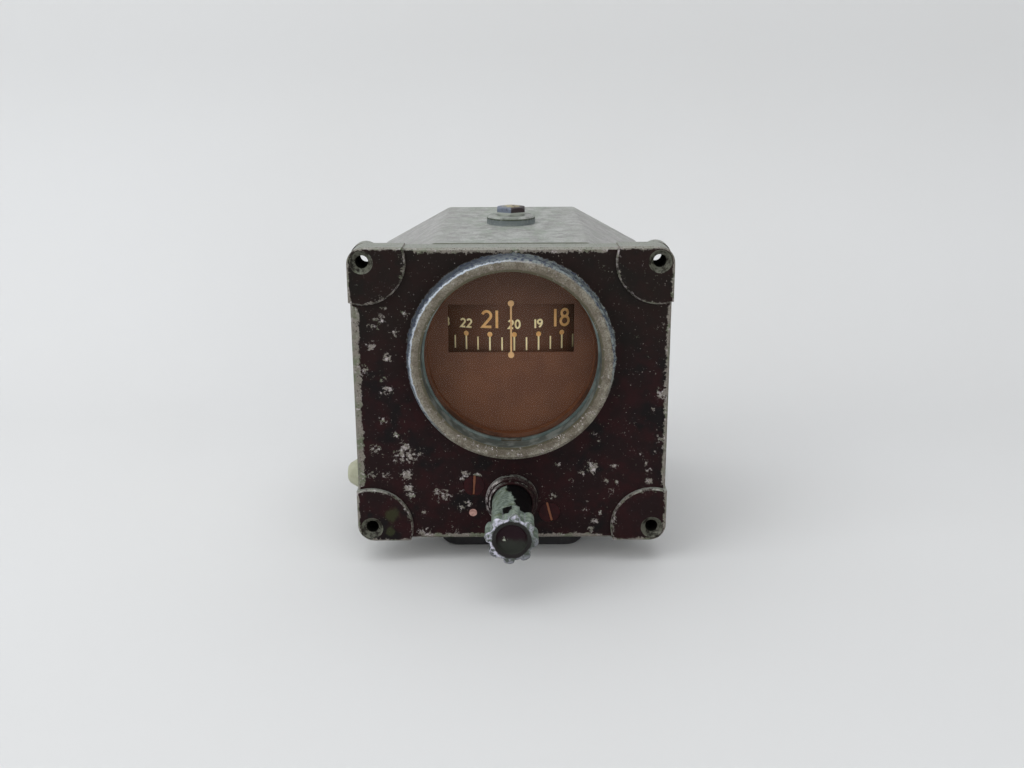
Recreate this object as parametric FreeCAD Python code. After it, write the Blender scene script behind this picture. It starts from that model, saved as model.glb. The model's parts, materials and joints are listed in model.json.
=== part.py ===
import FreeCAD, Part
import math
import os

# Air-driven directional gyro for an instrument panel, in millimetres.
# X is right as seen from the front, Y runs into the case and Z is up.
# The origin is the middle of the four mounting holes, in the plane of the lug seats.

# Front frame casting
plate_width = 133.35
plate_margin = 0.25
plate_corner = 7.0
hole_margin = 6.1
pad_radius = 17.8
pad_rise = 2.0
pad_overhang = 0.6
pad_edge = 0.7
frame_depth = 12.5
face_wall = 4.0
edge_break = 0.9
lug_depth = 18.5
lug_radius = 6.1
mount_hole_radius = 2.65
countersink_radius = 4.8
countersink_depth = 2.2

# Window in the frame: bezel ring, glass and its shoulder
window_drop = 10.15
ring_rise = 5.5
ring_bore = 37.2
ring_flat = 41.4
ring_base = 43.2
ring_edge = 1.0
glass_setback = 4.4
glass_thickness = 2.8
glass_play = 0.2
glass_edge = 0.4
glass_gasket_thickness = 0.8
glass_gasket_width = 1.6
shoulder_radius = 35.2
shoulder_thickness = 3.2
spring_width = 1.4
spring_height = 1.3
spring_gap = 9.0
groove_depth = 0.6

# Mask plate behind the window, and the lubber line on it
mask_radius = 41.5
mask_thickness = 0.8
mask_play = 0.3
aperture_width = 53.2
aperture_height = 20.7
aperture_drop = 0.8
mask_screw_circle = 39.35
mask_screw_angles = (30, 150, 270)
lubber_width = 0.8
lubber_thickness = 0.4
lubber_standoff = 0.35
lubber_dot_radius = 1.3
lubber_drop = 1.1
lubber_rise = 0.45
lubber_pin_radius = 0.4

# Case: an eight-sided extrusion with cast ends
case_half_width = 66.0
case_half_height = 63.9
case_flat_half = 32.0
case_shoulder_drop = 18.5
case_wall = 3.5
case_round = 4.0
card_rear_gap = 4.5
gasket_thickness = 0.6
land_flat = 6.4
land_side = 9.0
land_shoulder = 12.0
screw_inset = 6.3
rear_cover_thickness = 5.0
rear_cover_wall = 3.3
screw_post_radius = 3.4
screw_post_length = 13.0
rear_screw_turns = (20, 75, 140, 50)
port_rise = 15.4
port_radius = 5.6
port_boss_radius = 9.5
port_boss_length = 8.0

# Bearings
running_gap = 0.08

# Upper bearing, its bush and the hexagon plug above it
boss_radius = 11.2
boss_height = 3.9
inner_boss_radius = 12.4
inner_boss_height = 6.0
bush_radius = 8.9
bush_length = 15.8
bush_bore = 5.2
plug_across_flats = 12.7
plug_height = 3.2
plug_dome = 0.8
plug_bevel = 1.0
plug_shank = 5.0
plug_shank_length = 6.0
washer_radius = 6.6
washer_thickness = 0.5

# Pivot bearings of the vertical ring
pivot_radius = 3.0
race_outer = 7.0
race_split = 5.0
race_height = 4.0
floor_boss_radius = 9.5
floor_boss_height = 4.8
floor_boss_gap = 1.1
floor_air_radius = 4.5
air_bore = 1.4

# Side port and its cap
side_port_setback = 39.0
side_port_rise = 13.4
side_boss_radius = 8.2
side_boss_reach = 1.2
side_port_bore = 4.0
cap_base = 7.5
cap_shoulder = 6.3
cap_nose = 3.2
cap_shoulder_reach = 4.8
cap_reach = 8.5
cap_rim = 2.0
cap_round = 1.4
cap_shank_length = 6.5
cap_shank_play = 0.1

# Bottom cover, which is also the air inlet
belly_half_width = 31.7
belly_front = 18.0
belly_rear = 118.0
belly_corner = 8.0
belly_depth = 10.6
belly_wall = 1.6
belly_edge = 1.2
belly_post_radius = 4.4
belly_post_overlap = 0.7
belly_post_inset = 8.4
belly_head_recess = 2.4
inlet_slots = 6
inlet_pitch = 9.0
inlet_width = 4.0
inlet_height = 3.6
filter_half_width = 20.0
filter_length = 66.0
filter_rim = 2.0
filter_corner = 4.0

# Vertical ring, which carries the card
vring_wall = 4.5
vring_head_gap = 10.5
vring_width = 10.0
vring_hub_radius = 11.0
vring_hub_height = 4.5
vring_boss_radius = 7.0
vring_boss_reach = 1.5

# Heading card and its spider
card_side_gap = 3.0
card_front_gap = 1.0
card_wall = 1.0
card_height = 26.5
spider_thickness = 1.5
spider_rim = 4.0
spider_arm = 9.0
card_screw_circle = 7.6
card_screw_angles = (60, 120, 240, 300)
pivot_shoulder = 4.0
pivot_point = 1.0

# Inner ring, which carries the rotor
inner_ring_gap = 3.0
inner_ring_wall = 4.0
inner_ring_height = 8.0
tilt_boss_radius = 4.5
boss_clearance = 1.0
tilt_pin_radius = 2.0
tilt_pin_inset = 1.0
tilt_race_outer = 5.0
tilt_race_split = 3.5
tilt_race_width = 3.5
bearing_boss_radius = 6.6
rotor_race_outer = 5.0
rotor_race_split = 3.3
rotor_race_width = 3.5
bearing_cap_thickness = 1.2
stud_radius = 1.5
stud_tail = 1.1
nut_radius = 3.2
nut_thickness = 1.8

# Rotor wheel and shaft
rotor_gap = 3.5
rotor_width = 26.0
rotor_rim = 9.0
rotor_web = 8.0
rotor_hub = 7.5
rotor_hub_width = 40.0
bucket_count = 24
bucket_depth = 2.4
bucket_width = 11.0
bucket_shares = (0.65, 0.55, 0.2, -0.9)
rotor_edge = 1.0
shaft_radius = 2.6
journal_radius = 1.8
journal_inset = 0.4
race_play = 0.2

# Air nozzle under the rotor
nozzle_base = 5.0
nozzle_base_height = 3.4
nozzle_gap = 1.1
nozzle_length = 9.0
nozzle_width = 6.0
nozzle_corner = 1.0
jet_radius = 0.9

# Caging knob and its shaft
knob_boss_radius = 11.3
knob_boss_reach = 1.5
gland_radius = 9.8
gland_reach = 3.4
hub_radius = 8.4
hub_clearance = 0.3
hub_back = 3.8
head_back = -30.4
head_front = -41.0
head_radius = 8.8
lobe_count = 8
lobe_radius = 2.3
lobe_circle = 8.45
lobe_phase = 7.0
head_edge = 0.8
dish_radius = 6.5
dish_floor_radius = 5.5
dish_depth = 1.8
knob_shaft_radius = 3.0
shaft_clearance = 0.05
shaft_front = -24.0
shaft_tail = 2.2
set_screw_at = -17.5
set_screw_radius = 1.9
set_screw_recess = 1.0
set_screw_slot = 1.3
knob_travel = 7.0

# Caging bracket, its bushing, screws, dowel and guide rod
bracket_half_width = 21.0
bracket_rise = 11.2
bracket_drop = 10.5
bracket_thickness = 3.0
bracket_corner = 4.5
bushing_radius = 6.0
bushing_flange = 7.4
bushing_flange_thickness = 1.0
bushing_spare = 1.0
bushing_taper = 1.0
bushing_shoulder = 2.0
caging_screw_offsets = ((-16.2, 6.2, 4.0), (16.3, -6.2, -14.0))
caging_head_radius = 4.6
caging_head_height = 1.9
caging_head_play = 0.15
caging_shank_radius = 2.2
dowel_x = -16.8
dowel_drop = 6.2
dowel_radius = 1.7
rod_offset = 12.0
rod_radius = 2.0
rod_overhang = 2.8

# Shift yoke between two collars on the knob shaft
yoke_hub_gap = 0.7
yoke_thickness = 2.1
yoke_gap = 0.2
yoke_half_height = 5.2
yoke_slot_clearance = 0.3
yoke_fork_reach = 5.3
yoke_corner = 1.5
yoke_bush_radius = 4.2
yoke_bush_length = 6.0
collar_radius = 5.6
collar_width = 1.5

# Crown gear under the vertical ring, and the pinion that meets it
gear_module = 0.9
crown_teeth = 80
pinion_teeth = 12
pressure_angle = 20.0
tooth_share = 0.40
tooth_face = 4.6
addendum = 0.85
dedendum = 1.1
crown_web = 2.5
crown_edge = 0.5
crown_hub_rise = 2.5
tooth_sink = 0.4
crown_rim_inner = 29.0
crown_hub_radius = 12.0
crown_spokes = 5
crown_spoke_width = 7.0
pinion_hub_radius = 4.4
pinion_hub_length = 4.0

# Small screws: head radius, head height, shank radius
small_head = (1.7, 1.2, 1.0)
case_head = (2.7, 2.0, 1.7)
slot_share = 0.28
slot_depth_share = 0.55
tapped_depth = 8.0
screw_slack = 1.0
hole_play = 0.2


# Sizes that follow from the ones above, from the case inwards
plate_height = 2 * (case_half_height + plate_margin)
card_radius = case_half_width - case_wall - card_side_gap
shoulder_depth = glass_setback + glass_thickness + glass_gasket_thickness
mask_back_depth = shoulder_depth + shoulder_thickness + mask_thickness
gyro_setback = mask_back_depth + card_front_gap + card_radius
case_rear_depth = gyro_setback + card_radius + card_rear_gap
pinion_pitch_radius = gear_module * pinion_teeth / 2
crown_pitch_radius = gear_module * crown_teeth / 2
case_shoulder_z = case_half_height - case_shoulder_drop
floor_z = case_wall - case_half_height
side_port_z = floor_z + side_port_rise
port_z = floor_z + port_rise
roof_z = case_half_height - case_wall
crown_root_z = floor_z + floor_boss_height + floor_boss_gap + crown_web
crown_pitch_z = crown_root_z + dedendum
knob_z = crown_pitch_z + pinion_pitch_radius
boss_top_z = case_half_height + boss_height
upper_race_z = boss_top_z - bush_length + screw_slack / 2
lower_race_z = floor_z + screw_slack / 2
vring_bottom_z = crown_root_z + crown_hub_rise
vring_top_z = upper_race_z - vring_head_gap - spider_thickness
vring_outer = (vring_top_z - vring_bottom_z) / 2
vring_inner = vring_outer - vring_wall
gimbal_z = vring_bottom_z + vring_outer
inner_ring_outer = vring_inner - inner_ring_gap
inner_ring_bore = inner_ring_outer - inner_ring_wall
rotor_radius = inner_ring_bore - rotor_gap
card_high_z = vring_top_z + spider_thickness
card_low_z = card_high_z - card_height
aperture_z = (card_high_z + card_low_z) / 2 - aperture_drop
window_z = aperture_z - window_drop

# Planes
pad_y = -lug_depth
face_y = pad_y + pad_rise
face_back_y = face_y + face_wall
flange_y = pad_y + frame_depth
lip_y = pad_y - ring_rise
glass_y = pad_y + glass_setback
glass_back_y = glass_y + glass_thickness
shoulder_y = pad_y + shoulder_depth
collar_y = shoulder_y + shoulder_thickness
mask_back_y = collar_y + mask_thickness
case_front_y = flange_y + gasket_thickness
front_wall_back_y = case_front_y + case_wall
rear_y = pad_y + case_rear_depth
cover_front_y = rear_y - rear_cover_thickness
case_back_y = cover_front_y - gasket_thickness
gyro_y = pad_y + gyro_setback
belly_bottom_z = -case_half_height - belly_depth
belly_top_z = -case_half_height - gasket_thickness
bracket_back_y = face_back_y + bracket_thickness
pitch = math.pi * gear_module
gear_depth = gyro_setback - crown_pitch_radius
back_collar_front = gear_depth - tooth_face / 2 - pinion_hub_length - yoke_hub_gap - collar_width
yoke_front = back_collar_front - yoke_gap - yoke_thickness
bushing_back = yoke_front - yoke_gap - collar_width - knob_travel - bushing_spare
rod_back = yoke_front + yoke_bush_length / 2 + rod_overhang
shaft_back = gear_depth + tooth_face / 2 + shaft_tail
dowel_z = knob_z - dowel_drop
caging_screw_places = [(x, knob_z + rise, turn) for x, rise, turn in caging_screw_offsets]
lubber_low_z = aperture_z - aperture_height / 2 - lubber_drop
lubber_high_z = aperture_z + aperture_height / 2 + lubber_rise
lubber_ends = (lubber_low_z, lubber_high_z)
gimbal_reach = vring_inner - boss_clearance
tilt_pin_root = inner_ring_bore + tilt_pin_inset
journal_shoulder = inner_ring_bore + journal_inset
rotor_race_end = journal_shoulder + race_play + rotor_race_width
stud_reach = gimbal_reach + bearing_cap_thickness + nut_thickness + stud_tail
nozzle_top = math.hypot(rotor_radius, rotor_width / 2) + nozzle_gap
shoulder_angle = math.atan2(case_half_height - case_shoulder_z, case_half_width - case_flat_half)


def vec(x, y, z):
    return FreeCAD.Vector(x, y, z)


right = vec(1, 0, 0)
rearward = vec(0, 1, 0)
up = vec(0, 0, 1)
hole_x = plate_width / 2 - hole_margin
hole_z = plate_height / 2 - hole_margin
hole_centres = [(x, z) for x in (-hole_x, hole_x) for z in (-hole_z, hole_z)]
gyro_centre = vec(0, gyro_y, gimbal_z)


# A round bar between two points
def rod(radius, start, end):
    run = end.sub(start)
    return Part.makeCylinder(radius, run.Length, start, run)


def pipe(outer, inner, start, end):
    return rod(outer, start, end).cut(rod(inner, start, end))


# Bars along Y, and posts along Z
def bar(radius, x, z, near, far):
    return rod(radius, vec(x, near, z), vec(x, far, z))


def post(radius, x, y, low, high):
    return rod(radius, vec(x, y, low), vec(x, y, high))


# The same on the axis of the vertical ring, and on the axis of the window
def spindle(radius, low, high):
    return post(radius, 0, gyro_y, low, high)


def sleeve(outer, inner, low, high):
    return spindle(outer, low, high).cut(spindle(inner, low, high))


def lens(radius, near, far):
    return bar(radius, 0, window_z, near, far)


# A turned solid; the profile lists (radius, distance along the axis)
def turned(profile, base, axis):
    side = vec(axis.y, axis.z, axis.x)
    points = [base + axis * along + side * radius for radius, along in profile]
    solid = Part.Face(Part.makePolygon(points + points[:1])).revolve(base, axis, 360)
    if solid.Volume < 0:
        solid.reverse()
    return solid


# A flat outline of (x, z) points, extruded from one Y plane to another
def slab(outline, near, far):
    corners = [vec(x, near, z) for x, z in outline]
    return Part.Face(Part.makePolygon(corners + corners[:1])).extrude(rearward * (far - near))


def block(low, high):
    size = high.sub(low)
    return Part.makeBox(size.x, size.y, size.z, low)


def edges_along(shape, direction):
    straight = [edge for edge in shape.Edges if isinstance(edge.Curve, Part.Line)]
    return [edge for edge in straight if abs(edge.Curve.Direction.dot(direction)) > 0.999]


def edges_at_y(shape, y):
    level = [edge for edge in shape.Edges if edge.BoundBox.YLength < 1e-3]
    return [edge for edge in level if abs(edge.BoundBox.YMin - y) < 1e-3]


def rounded_block(low, high, radius, direction):
    box = block(low, high)
    return box.makeFillet(radius, edges_along(box, direction))


# The case outline drawn in by its own distance at the flats, sides and shoulders
def octagon(flat=0.0, side=0.0, shoulder=0.0):
    sine = math.sin(shoulder_angle)
    cosine = math.cos(shoulder_angle)
    reach = case_flat_half * sine + case_half_height * cosine - shoulder
    top = case_half_height - flat
    wide = case_half_width - side
    top_x = (reach - top * cosine) / sine
    side_z = (reach - wide * sine) / cosine
    quarter = [(top_x, top), (wide, side_z)]
    half = quarter + [(x, -z) for x, z in reversed(quarter)]
    return half + [(-x, z) for x, z in reversed(half)]


def case_prism(near, far):
    prism = slab(octagon(), near, far)
    return prism.makeFillet(case_round, edges_along(prism, rearward))


def land_opening(near, far):
    return slab(octagon(land_flat, land_side, land_shoulder), near, far)


# Screw places in the middle of the four shoulders
def shoulder_places():
    x = (case_flat_half + case_half_width) / 2 - screw_inset * math.sin(shoulder_angle)
    z = (case_half_height + case_shoulder_z) / 2 - screw_inset * math.cos(shoulder_angle)
    return [(sx * x, sz * z) for sx in (-1, 1) for sz in (-1, 1)]


# A slotted screw whose head sits on the seat; direction points out of the head
def screw(sizes, seat, direction, length, slot_turn=0.0):
    head_radius, head_height, shank_radius = sizes
    body = rod(head_radius, seat, seat + direction * head_height)
    body = body.fuse(rod(shank_radius, seat, seat - direction * length))
    across = vec(abs(direction.y), abs(direction.z), abs(direction.x))
    along = direction.cross(across)
    top = seat + direction * head_height
    side = across * (head_radius * slot_share / 2)
    run = along * (2 * head_radius)
    outline = [top - side - run, top + side - run, top + side + run, top - side + run]
    depth = direction * (-head_height * slot_depth_share)
    cutter = Part.Face(Part.makePolygon(outline + outline[:1])).extrude(depth)
    cutter.rotate(top, direction, slot_turn)
    return body.cut(cutter)


def group(shapes):
    return Part.makeCompound(shapes)


def knob_point(depth, x=0.0, z=0.0):
    return vec(x, pad_y + depth, knob_z + z)


def knob_bar(radius, near, far, x=0.0, z=0.0):
    return rod(radius, knob_point(near, x, z), knob_point(far, x, z))


def on_window(y):
    return vec(0, y, window_z)


def frame_pad(x, z, outline):
    pad = bar(pad_radius, x, z, pad_y, flange_y).common(outline)
    return pad.makeChamfer(pad_edge, edges_at_y(pad, pad_y))


def mount_hole(x, z):
    sink = turned([(0, 0), (countersink_radius, 0), (mount_hole_radius, countersink_depth),
                   (0, countersink_depth)], vec(x, pad_y, z), rearward)
    return bar(mount_hole_radius, x, z, pad_y, 0).fuse(sink)


def window_bores():
    glass_pocket = lens(ring_bore, lip_y, shoulder_y)
    throat = lens(shoulder_radius, lip_y, flange_y)
    mask_seat = lens(mask_radius + mask_play, collar_y, flange_y)
    groove = lens(ring_bore + groove_depth, glass_y - spring_height - glass_play, glass_y)
    return [glass_pocket, throat, mask_seat, groove]


def caging_holes():
    cuts = []
    for x, z, turn in caging_screw_places:
        seat_y = face_y + caging_head_height
        cuts.append(bar(caging_head_radius + caging_head_play, x, z, face_y, seat_y))
        cuts.append(bar(caging_shank_radius + hole_play, x, z, face_y, face_back_y))
    cuts.append(bar(dowel_radius, dowel_x, dowel_z, face_y, face_back_y))
    cuts.append(knob_bar(hub_radius + hub_clearance, -gland_reach, frame_depth))
    return cuts


def frame_screw_holes():
    return [bar(case_head[2], x, z, flange_y - tapped_depth, flange_y) for x, z in shoulder_places()]


def mask_screw_places():
    turns = [math.radians(angle) for angle in mask_screw_angles]
    return [(mask_screw_circle * math.cos(a), window_z + mask_screw_circle * math.sin(a)) for a in turns]


def plate_block(inset, front):
    x = plate_width / 2 - inset
    z = plate_height / 2 - inset
    return rounded_block(vec(-x, front, -z), vec(x, flange_y, z), plate_corner - inset, rearward)


# The casting: plate, raised corner pads, bezel ring, knob boss and mounting lugs
def front_frame():
    plate = plate_block(pad_overhang, face_y)
    plate = plate.makeChamfer(edge_break, edges_at_y(plate, face_y))
    outline = plate_block(0, pad_y)
    slope = ring_base - ring_edge / 2
    ring = turned([(0, lip_y), (ring_flat, lip_y), (slope, lip_y + ring_edge), (ring_base, face_y),
                   (ring_base, collar_y), (0, collar_y)], on_window(0), rearward)
    boss = knob_bar(knob_boss_radius, -knob_boss_reach, pad_rise + face_wall)
    boss = boss.makeChamfer(edge_break, edges_at_y(boss, pad_y - knob_boss_reach))
    gland = knob_bar(gland_radius, -gland_reach, pad_rise)
    gland = gland.makeChamfer(edge_break / 2, edges_at_y(gland, pad_y - gland_reach))
    pocket = land_opening(face_back_y, flange_y).cut(lens(ring_base, face_y, collar_y))
    body = plate.cut(pocket)
    pads = [frame_pad(x, z, outline) for x, z in hole_centres]
    lugs = [bar(lug_radius, x, z, flange_y, 0) for x, z in hole_centres]
    body = body.fuse(pads + lugs + [ring, boss, gland])
    cuts = [mount_hole(x, z) for x, z in hole_centres]
    cuts += window_bores() + caging_holes() + frame_screw_holes()
    cuts += [bar(small_head[2], x, z, shoulder_y, collar_y) for x, z in mask_screw_places()]
    return body.cut(cuts).removeSplitter()


def window_glass():
    radius = ring_bore - glass_play
    glass = lens(radius, glass_y, glass_back_y)
    return glass.makeChamfer(glass_edge, edges_at_y(glass, glass_y))


def glass_gasket():
    outer = ring_bore - glass_play
    return pipe(outer, outer - glass_gasket_width, on_window(glass_back_y), on_window(shoulder_y))


# A spring ring in the bezel groove, open at the bottom
def glass_retaining_ring():
    outer = ring_bore + groove_depth
    front = glass_y - spring_height
    ring = pipe(outer, outer - spring_width, on_window(front), on_window(glass_y))
    gap = block(vec(-spring_gap / 2, front, window_z - outer), vec(spring_gap / 2, glass_y, window_z))
    return ring.cut(gap)


def mask_plate():
    plate = lens(mask_radius, collar_y, mask_back_y)
    half = aperture_width / 2
    low = aperture_z - aperture_height / 2
    clear = small_head[2] + hole_play
    cuts = [block(vec(-half, collar_y, low), vec(half, mask_back_y, low + aperture_height))]
    cuts += [bar(clear, x, z, collar_y, mask_back_y) for x, z in mask_screw_places()]
    cuts += [bar(lubber_pin_radius, 0, z, collar_y, mask_back_y) for z in lubber_ends]
    return plate.cut(cuts)


def mask_screws():
    length = mask_thickness + shoulder_thickness - screw_slack
    seats = [vec(x, mask_back_y, z) for x, z in mask_screw_places()]
    return group([screw(small_head, seat, rearward, length) for seat in seats])


# The fixed reference line: a flat wire between two round feet
def lubber_line():
    front = collar_y - lubber_standoff - lubber_thickness
    half = lubber_width / 2
    wire = block(vec(-half, front, lubber_low_z), vec(half, front + lubber_thickness, lubber_high_z))
    feet = [bar(lubber_dot_radius, 0, z, front, collar_y) for z in lubber_ends]
    pins = [bar(lubber_pin_radius, 0, z, front, mask_back_y) for z in lubber_ends]
    return wire.fuse(feet + pins).removeSplitter()


def land_gasket(near, far):
    holes = [bar(case_head[2] + hole_play, x, z, near, far) for x, z in shoulder_places()]
    return case_prism(near, far).cut([land_opening(near, far)] + holes)


def frame_gasket():
    return land_gasket(flange_y, case_front_y)


def rear_cover_gasket():
    return land_gasket(case_back_y, cover_front_y)


def side_point(reach):
    return vec(-case_half_width - reach, pad_y + side_port_setback, side_port_z)


# The bottom cover's screws, near its four corners
def belly_places():
    x = belly_half_width - belly_wall - belly_post_radius + belly_post_overlap
    rows = (belly_front + belly_post_inset, belly_rear - belly_post_inset)
    return [(sx * x, pad_y + row) for sx in (-1, 1) for row in rows]


def on_gyro_axis(z):
    return vec(0, gyro_y, z)


def case_outer():
    shell = case_prism(case_front_y, case_back_y)
    top_boss = spindle(boss_radius, roof_z, boss_top_z)
    rim = [edge for edge in top_boss.Edges if abs(edge.BoundBox.ZMin - boss_top_z) < 1e-3]
    top_boss = top_boss.makeChamfer(edge_break, rim)
    side_boss = rod(side_boss_radius, side_point(-case_wall * 2), side_point(side_boss_reach))
    return shell.fuse([top_boss, side_boss])


def case_inner_bosses():
    roof = spindle(inner_boss_radius, roof_z - inner_boss_height, roof_z)
    floor = spindle(floor_boss_radius, floor_z, floor_z + floor_boss_height)
    start = case_back_y - screw_post_length
    posts = [bar(screw_post_radius, x, z, start, case_back_y) for x, z in shoulder_places()]
    return [roof, floor] + posts


def case_bores():
    rear_start = case_back_y - screw_post_length + screw_slack
    cuts = [spindle(bush_radius, roof_z - inner_boss_height, boss_top_z)]
    cuts.append(spindle(race_outer, lower_race_z, floor_z + floor_boss_height))
    cuts.append(spindle(floor_air_radius, -case_half_height, floor_z + floor_boss_height))
    cuts.append(rod(side_port_bore, side_point(-case_wall * 2), side_point(side_boss_reach)))
    cuts += [bar(case_head[2], x, z, rear_start, case_back_y) for x, z in shoulder_places()]
    clear = case_head[2] + hole_play
    cuts += [bar(clear, x, z, case_front_y, front_wall_back_y) for x, z in shoulder_places()]
    cuts += [post(small_head[2], x, y, -case_half_height, floor_z) for x, y in belly_places()]
    return cuts


# The cast case, open at the rear and windowed at the front
def case_body():
    cavity = slab(octagon(case_wall, case_wall, case_wall), front_wall_back_y, case_back_y)
    body = case_outer().cut([cavity, land_opening(case_front_y, front_wall_back_y)])
    body = body.fuse(case_inner_bosses())
    return body.cut(case_bores()).removeSplitter()


def frame_screws():
    length = case_wall + gasket_thickness + tapped_depth - screw_slack
    seats = [vec(x, front_wall_back_y, z) for x, z in shoulder_places()]
    return group([screw(case_head, seat, rearward, length) for seat in seats])


def rear_cover():
    dish = slab(octagon(), cover_front_y, rear_y)
    dish = dish.makeFillet(case_round, edges_along(dish, rearward) + edges_at_y(dish, rear_y))
    recess = land_opening(cover_front_y, rear_y - rear_cover_wall)
    port_front = rear_y - rear_cover_wall - port_boss_length
    boss = bar(port_boss_radius, 0, port_z, port_front, rear_y - rear_cover_wall)
    port = bar(port_radius, 0, port_z, port_front, rear_y)
    clear = case_head[2] + hole_play
    holes = [bar(clear, x, z, cover_front_y, rear_y) for x, z in shoulder_places()]
    return dish.cut(recess).fuse(boss).cut([port] + holes).removeSplitter()


def rear_cover_screws():
    length = rear_cover_thickness + gasket_thickness + screw_post_length - 2 * screw_slack
    places = zip(shoulder_places(), rear_screw_turns)
    return group([screw(case_head, vec(x, rear_y, z), rearward, length, turn) for (x, z), turn in places])


def upper_bearing_bush():
    low = boss_top_z - bush_length
    seat_top = upper_race_z + race_height
    return turned([(race_outer, low), (bush_radius, low), (bush_radius, boss_top_z), (bush_bore, boss_top_z),
                   (bush_bore, seat_top), (race_outer, seat_top)], on_gyro_axis(0), up)


def top_plug_washer():
    return sleeve(washer_radius, plug_shank + hole_play, boss_top_z, boss_top_z + washer_thickness)


def top_plug():
    seat = boss_top_z + washer_thickness
    corner = plug_across_flats / 2 / math.cos(math.pi / 6)
    turns = [math.radians(60 * k + 30) for k in range(6)]
    points = [vec(corner * math.cos(a), gyro_y + corner * math.sin(a), seat) for a in turns]
    head = Part.Face(Part.makePolygon(points + points[:1])).extrude(up * plug_height)
    crown = turned([(0, 0), (corner, 0), (corner, plug_height - plug_bevel),
                    (plug_across_flats / 2, plug_height), (0, plug_height)], vec(0, gyro_y, seat), up)
    dome = turned([(0, 0), (plug_shank, 0), (plug_shank / 2, plug_dome * 3 / 4), (0, plug_dome)],
                  vec(0, gyro_y, seat + plug_height), up)
    shank = spindle(plug_shank, seat - plug_shank_length, seat)
    return head.common(crown).fuse([dome, shank]).removeSplitter()


# A turned plastic cap on the side port, its shank in the bore
def side_port_cap():
    shank = side_port_bore - cap_shank_play
    return turned([(0, -cap_shank_length), (shank, -cap_shank_length), (shank, 0), (cap_base, 0),
                   (cap_base, cap_rim), (cap_shoulder, cap_shoulder_reach),
                   (cap_nose + cap_round, cap_reach - cap_round * 2 / 3), (cap_nose, cap_reach),
                   (0, cap_reach)], side_point(side_boss_reach), right * -1)


def belly_box(grow, bottom, top, corner):
    low = vec(-belly_half_width - grow, pad_y + belly_front - grow, bottom)
    high = vec(belly_half_width + grow, pad_y + belly_rear + grow, top)
    return rounded_block(low, high, corner, up)


def inlet_cuts():
    middle = pad_y + (belly_front + belly_rear) / 2
    low = belly_bottom_z + belly_wall + belly_edge
    cuts = []
    for k in range(inlet_slots):
        y = middle + (k - (inlet_slots - 1) / 2) * inlet_pitch
        start = vec(-belly_half_width, y - inlet_width / 2, low)
        cuts.append(block(start, start + vec(2 * belly_half_width, inlet_width, inlet_height)))
    return cuts


# A pressed pan under the case; air comes in through slots in its long sides
def bottom_cover():
    pan = belly_box(0, belly_bottom_z, belly_top_z, belly_corner)
    rim = [edge for edge in pan.Edges if edge.BoundBox.ZMax < belly_bottom_z + 1e-3]
    pan = pan.makeChamfer(belly_edge, rim)
    pan = pan.cut(belly_box(-belly_wall, belly_bottom_z + belly_wall, belly_top_z, belly_corner - belly_wall))
    posts = [post(belly_post_radius, x, y, belly_bottom_z + belly_wall / 2, belly_top_z)
             for x, y in belly_places()]
    recess_z = belly_bottom_z + belly_head_recess
    holes = [post(small_head[2] + hole_play, x, y, belly_bottom_z, belly_top_z) for x, y in belly_places()]
    sinks = [post(small_head[0] + hole_play, x, y, belly_bottom_z, recess_z) for x, y in belly_places()]
    return pan.fuse(posts).cut(holes + sinks + inlet_cuts()).removeSplitter()


def bottom_cover_gasket():
    band = belly_box(0, belly_top_z, -case_half_height, belly_corner)
    opening = belly_box(-belly_wall - 1, belly_top_z, -case_half_height, belly_corner - belly_wall - 1)
    pads = [post(belly_post_radius, x, y, belly_top_z, -case_half_height) for x, y in belly_places()]
    holes = [post(small_head[2] + hole_play, x, y, belly_top_z, -case_half_height)
             for x, y in belly_places()]
    return band.cut(opening).fuse(pads).cut(holes).removeSplitter()


def bottom_cover_screws():
    seat_z = belly_bottom_z + belly_head_recess
    length = -case_half_height - seat_z + case_wall - screw_slack / 2
    return group([screw(small_head, vec(x, y, seat_z), up * -1, length) for x, y in belly_places()])


def filter_block(inset):
    middle = pad_y + (belly_front + belly_rear) / 2
    x = filter_half_width - inset
    y = filter_length / 2 - inset
    low = belly_bottom_z + belly_wall + inset
    return rounded_block(vec(-x, middle - y, low), vec(x, middle + y, -case_half_height),
                         filter_corner - inset, up)


# The filter pad, standing on the pan and closed against the case floor
def air_filter():
    return filter_block(0).cut(filter_block(filter_rim))


def caging_bracket():
    plate = rounded_block(vec(-bracket_half_width, face_back_y, knob_z - bracket_drop),
                          vec(bracket_half_width, bracket_back_y, knob_z + bracket_rise),
                          bracket_corner, rearward)
    holes = [bar(caging_shank_radius, x, z, face_back_y, bracket_back_y)
             for x, z, turn in caging_screw_places]
    holes.append(bar(dowel_radius, dowel_x, dowel_z, face_back_y, bracket_back_y))
    holes.append(knob_bar(bushing_radius, 0, frame_depth))
    holes.append(knob_bar(rod_radius, 0, frame_depth, rod_offset))
    return plate.cut(holes)


def knob_bushing():
    seat = face_back_y - pad_y
    front = seat - bushing_flange_thickness
    inner = knob_shaft_radius + shaft_clearance
    return turned([(inner, front), (bushing_flange, front), (bushing_flange, seat), (bushing_radius, seat),
                   (bushing_radius, seat + bracket_thickness + bushing_shoulder),
                   (bushing_radius - bushing_taper, bushing_back), (inner, bushing_back)],
                  knob_point(0), rearward)


def caging_screws():
    sizes = (caging_head_radius, caging_head_height, caging_shank_radius)
    length = face_wall - caging_head_height + bracket_thickness
    places = [(vec(x, face_y + caging_head_height, z), turn) for x, z, turn in caging_screw_places]
    return group([screw(sizes, seat, rearward * -1, length, -turn) for seat, turn in places])


def locating_pin():
    return bar(dowel_radius, dowel_x, dowel_z, face_y, bracket_back_y)


def yoke_guide_rod():
    return knob_bar(rod_radius, face_back_y - pad_y, rod_back, rod_offset)


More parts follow.
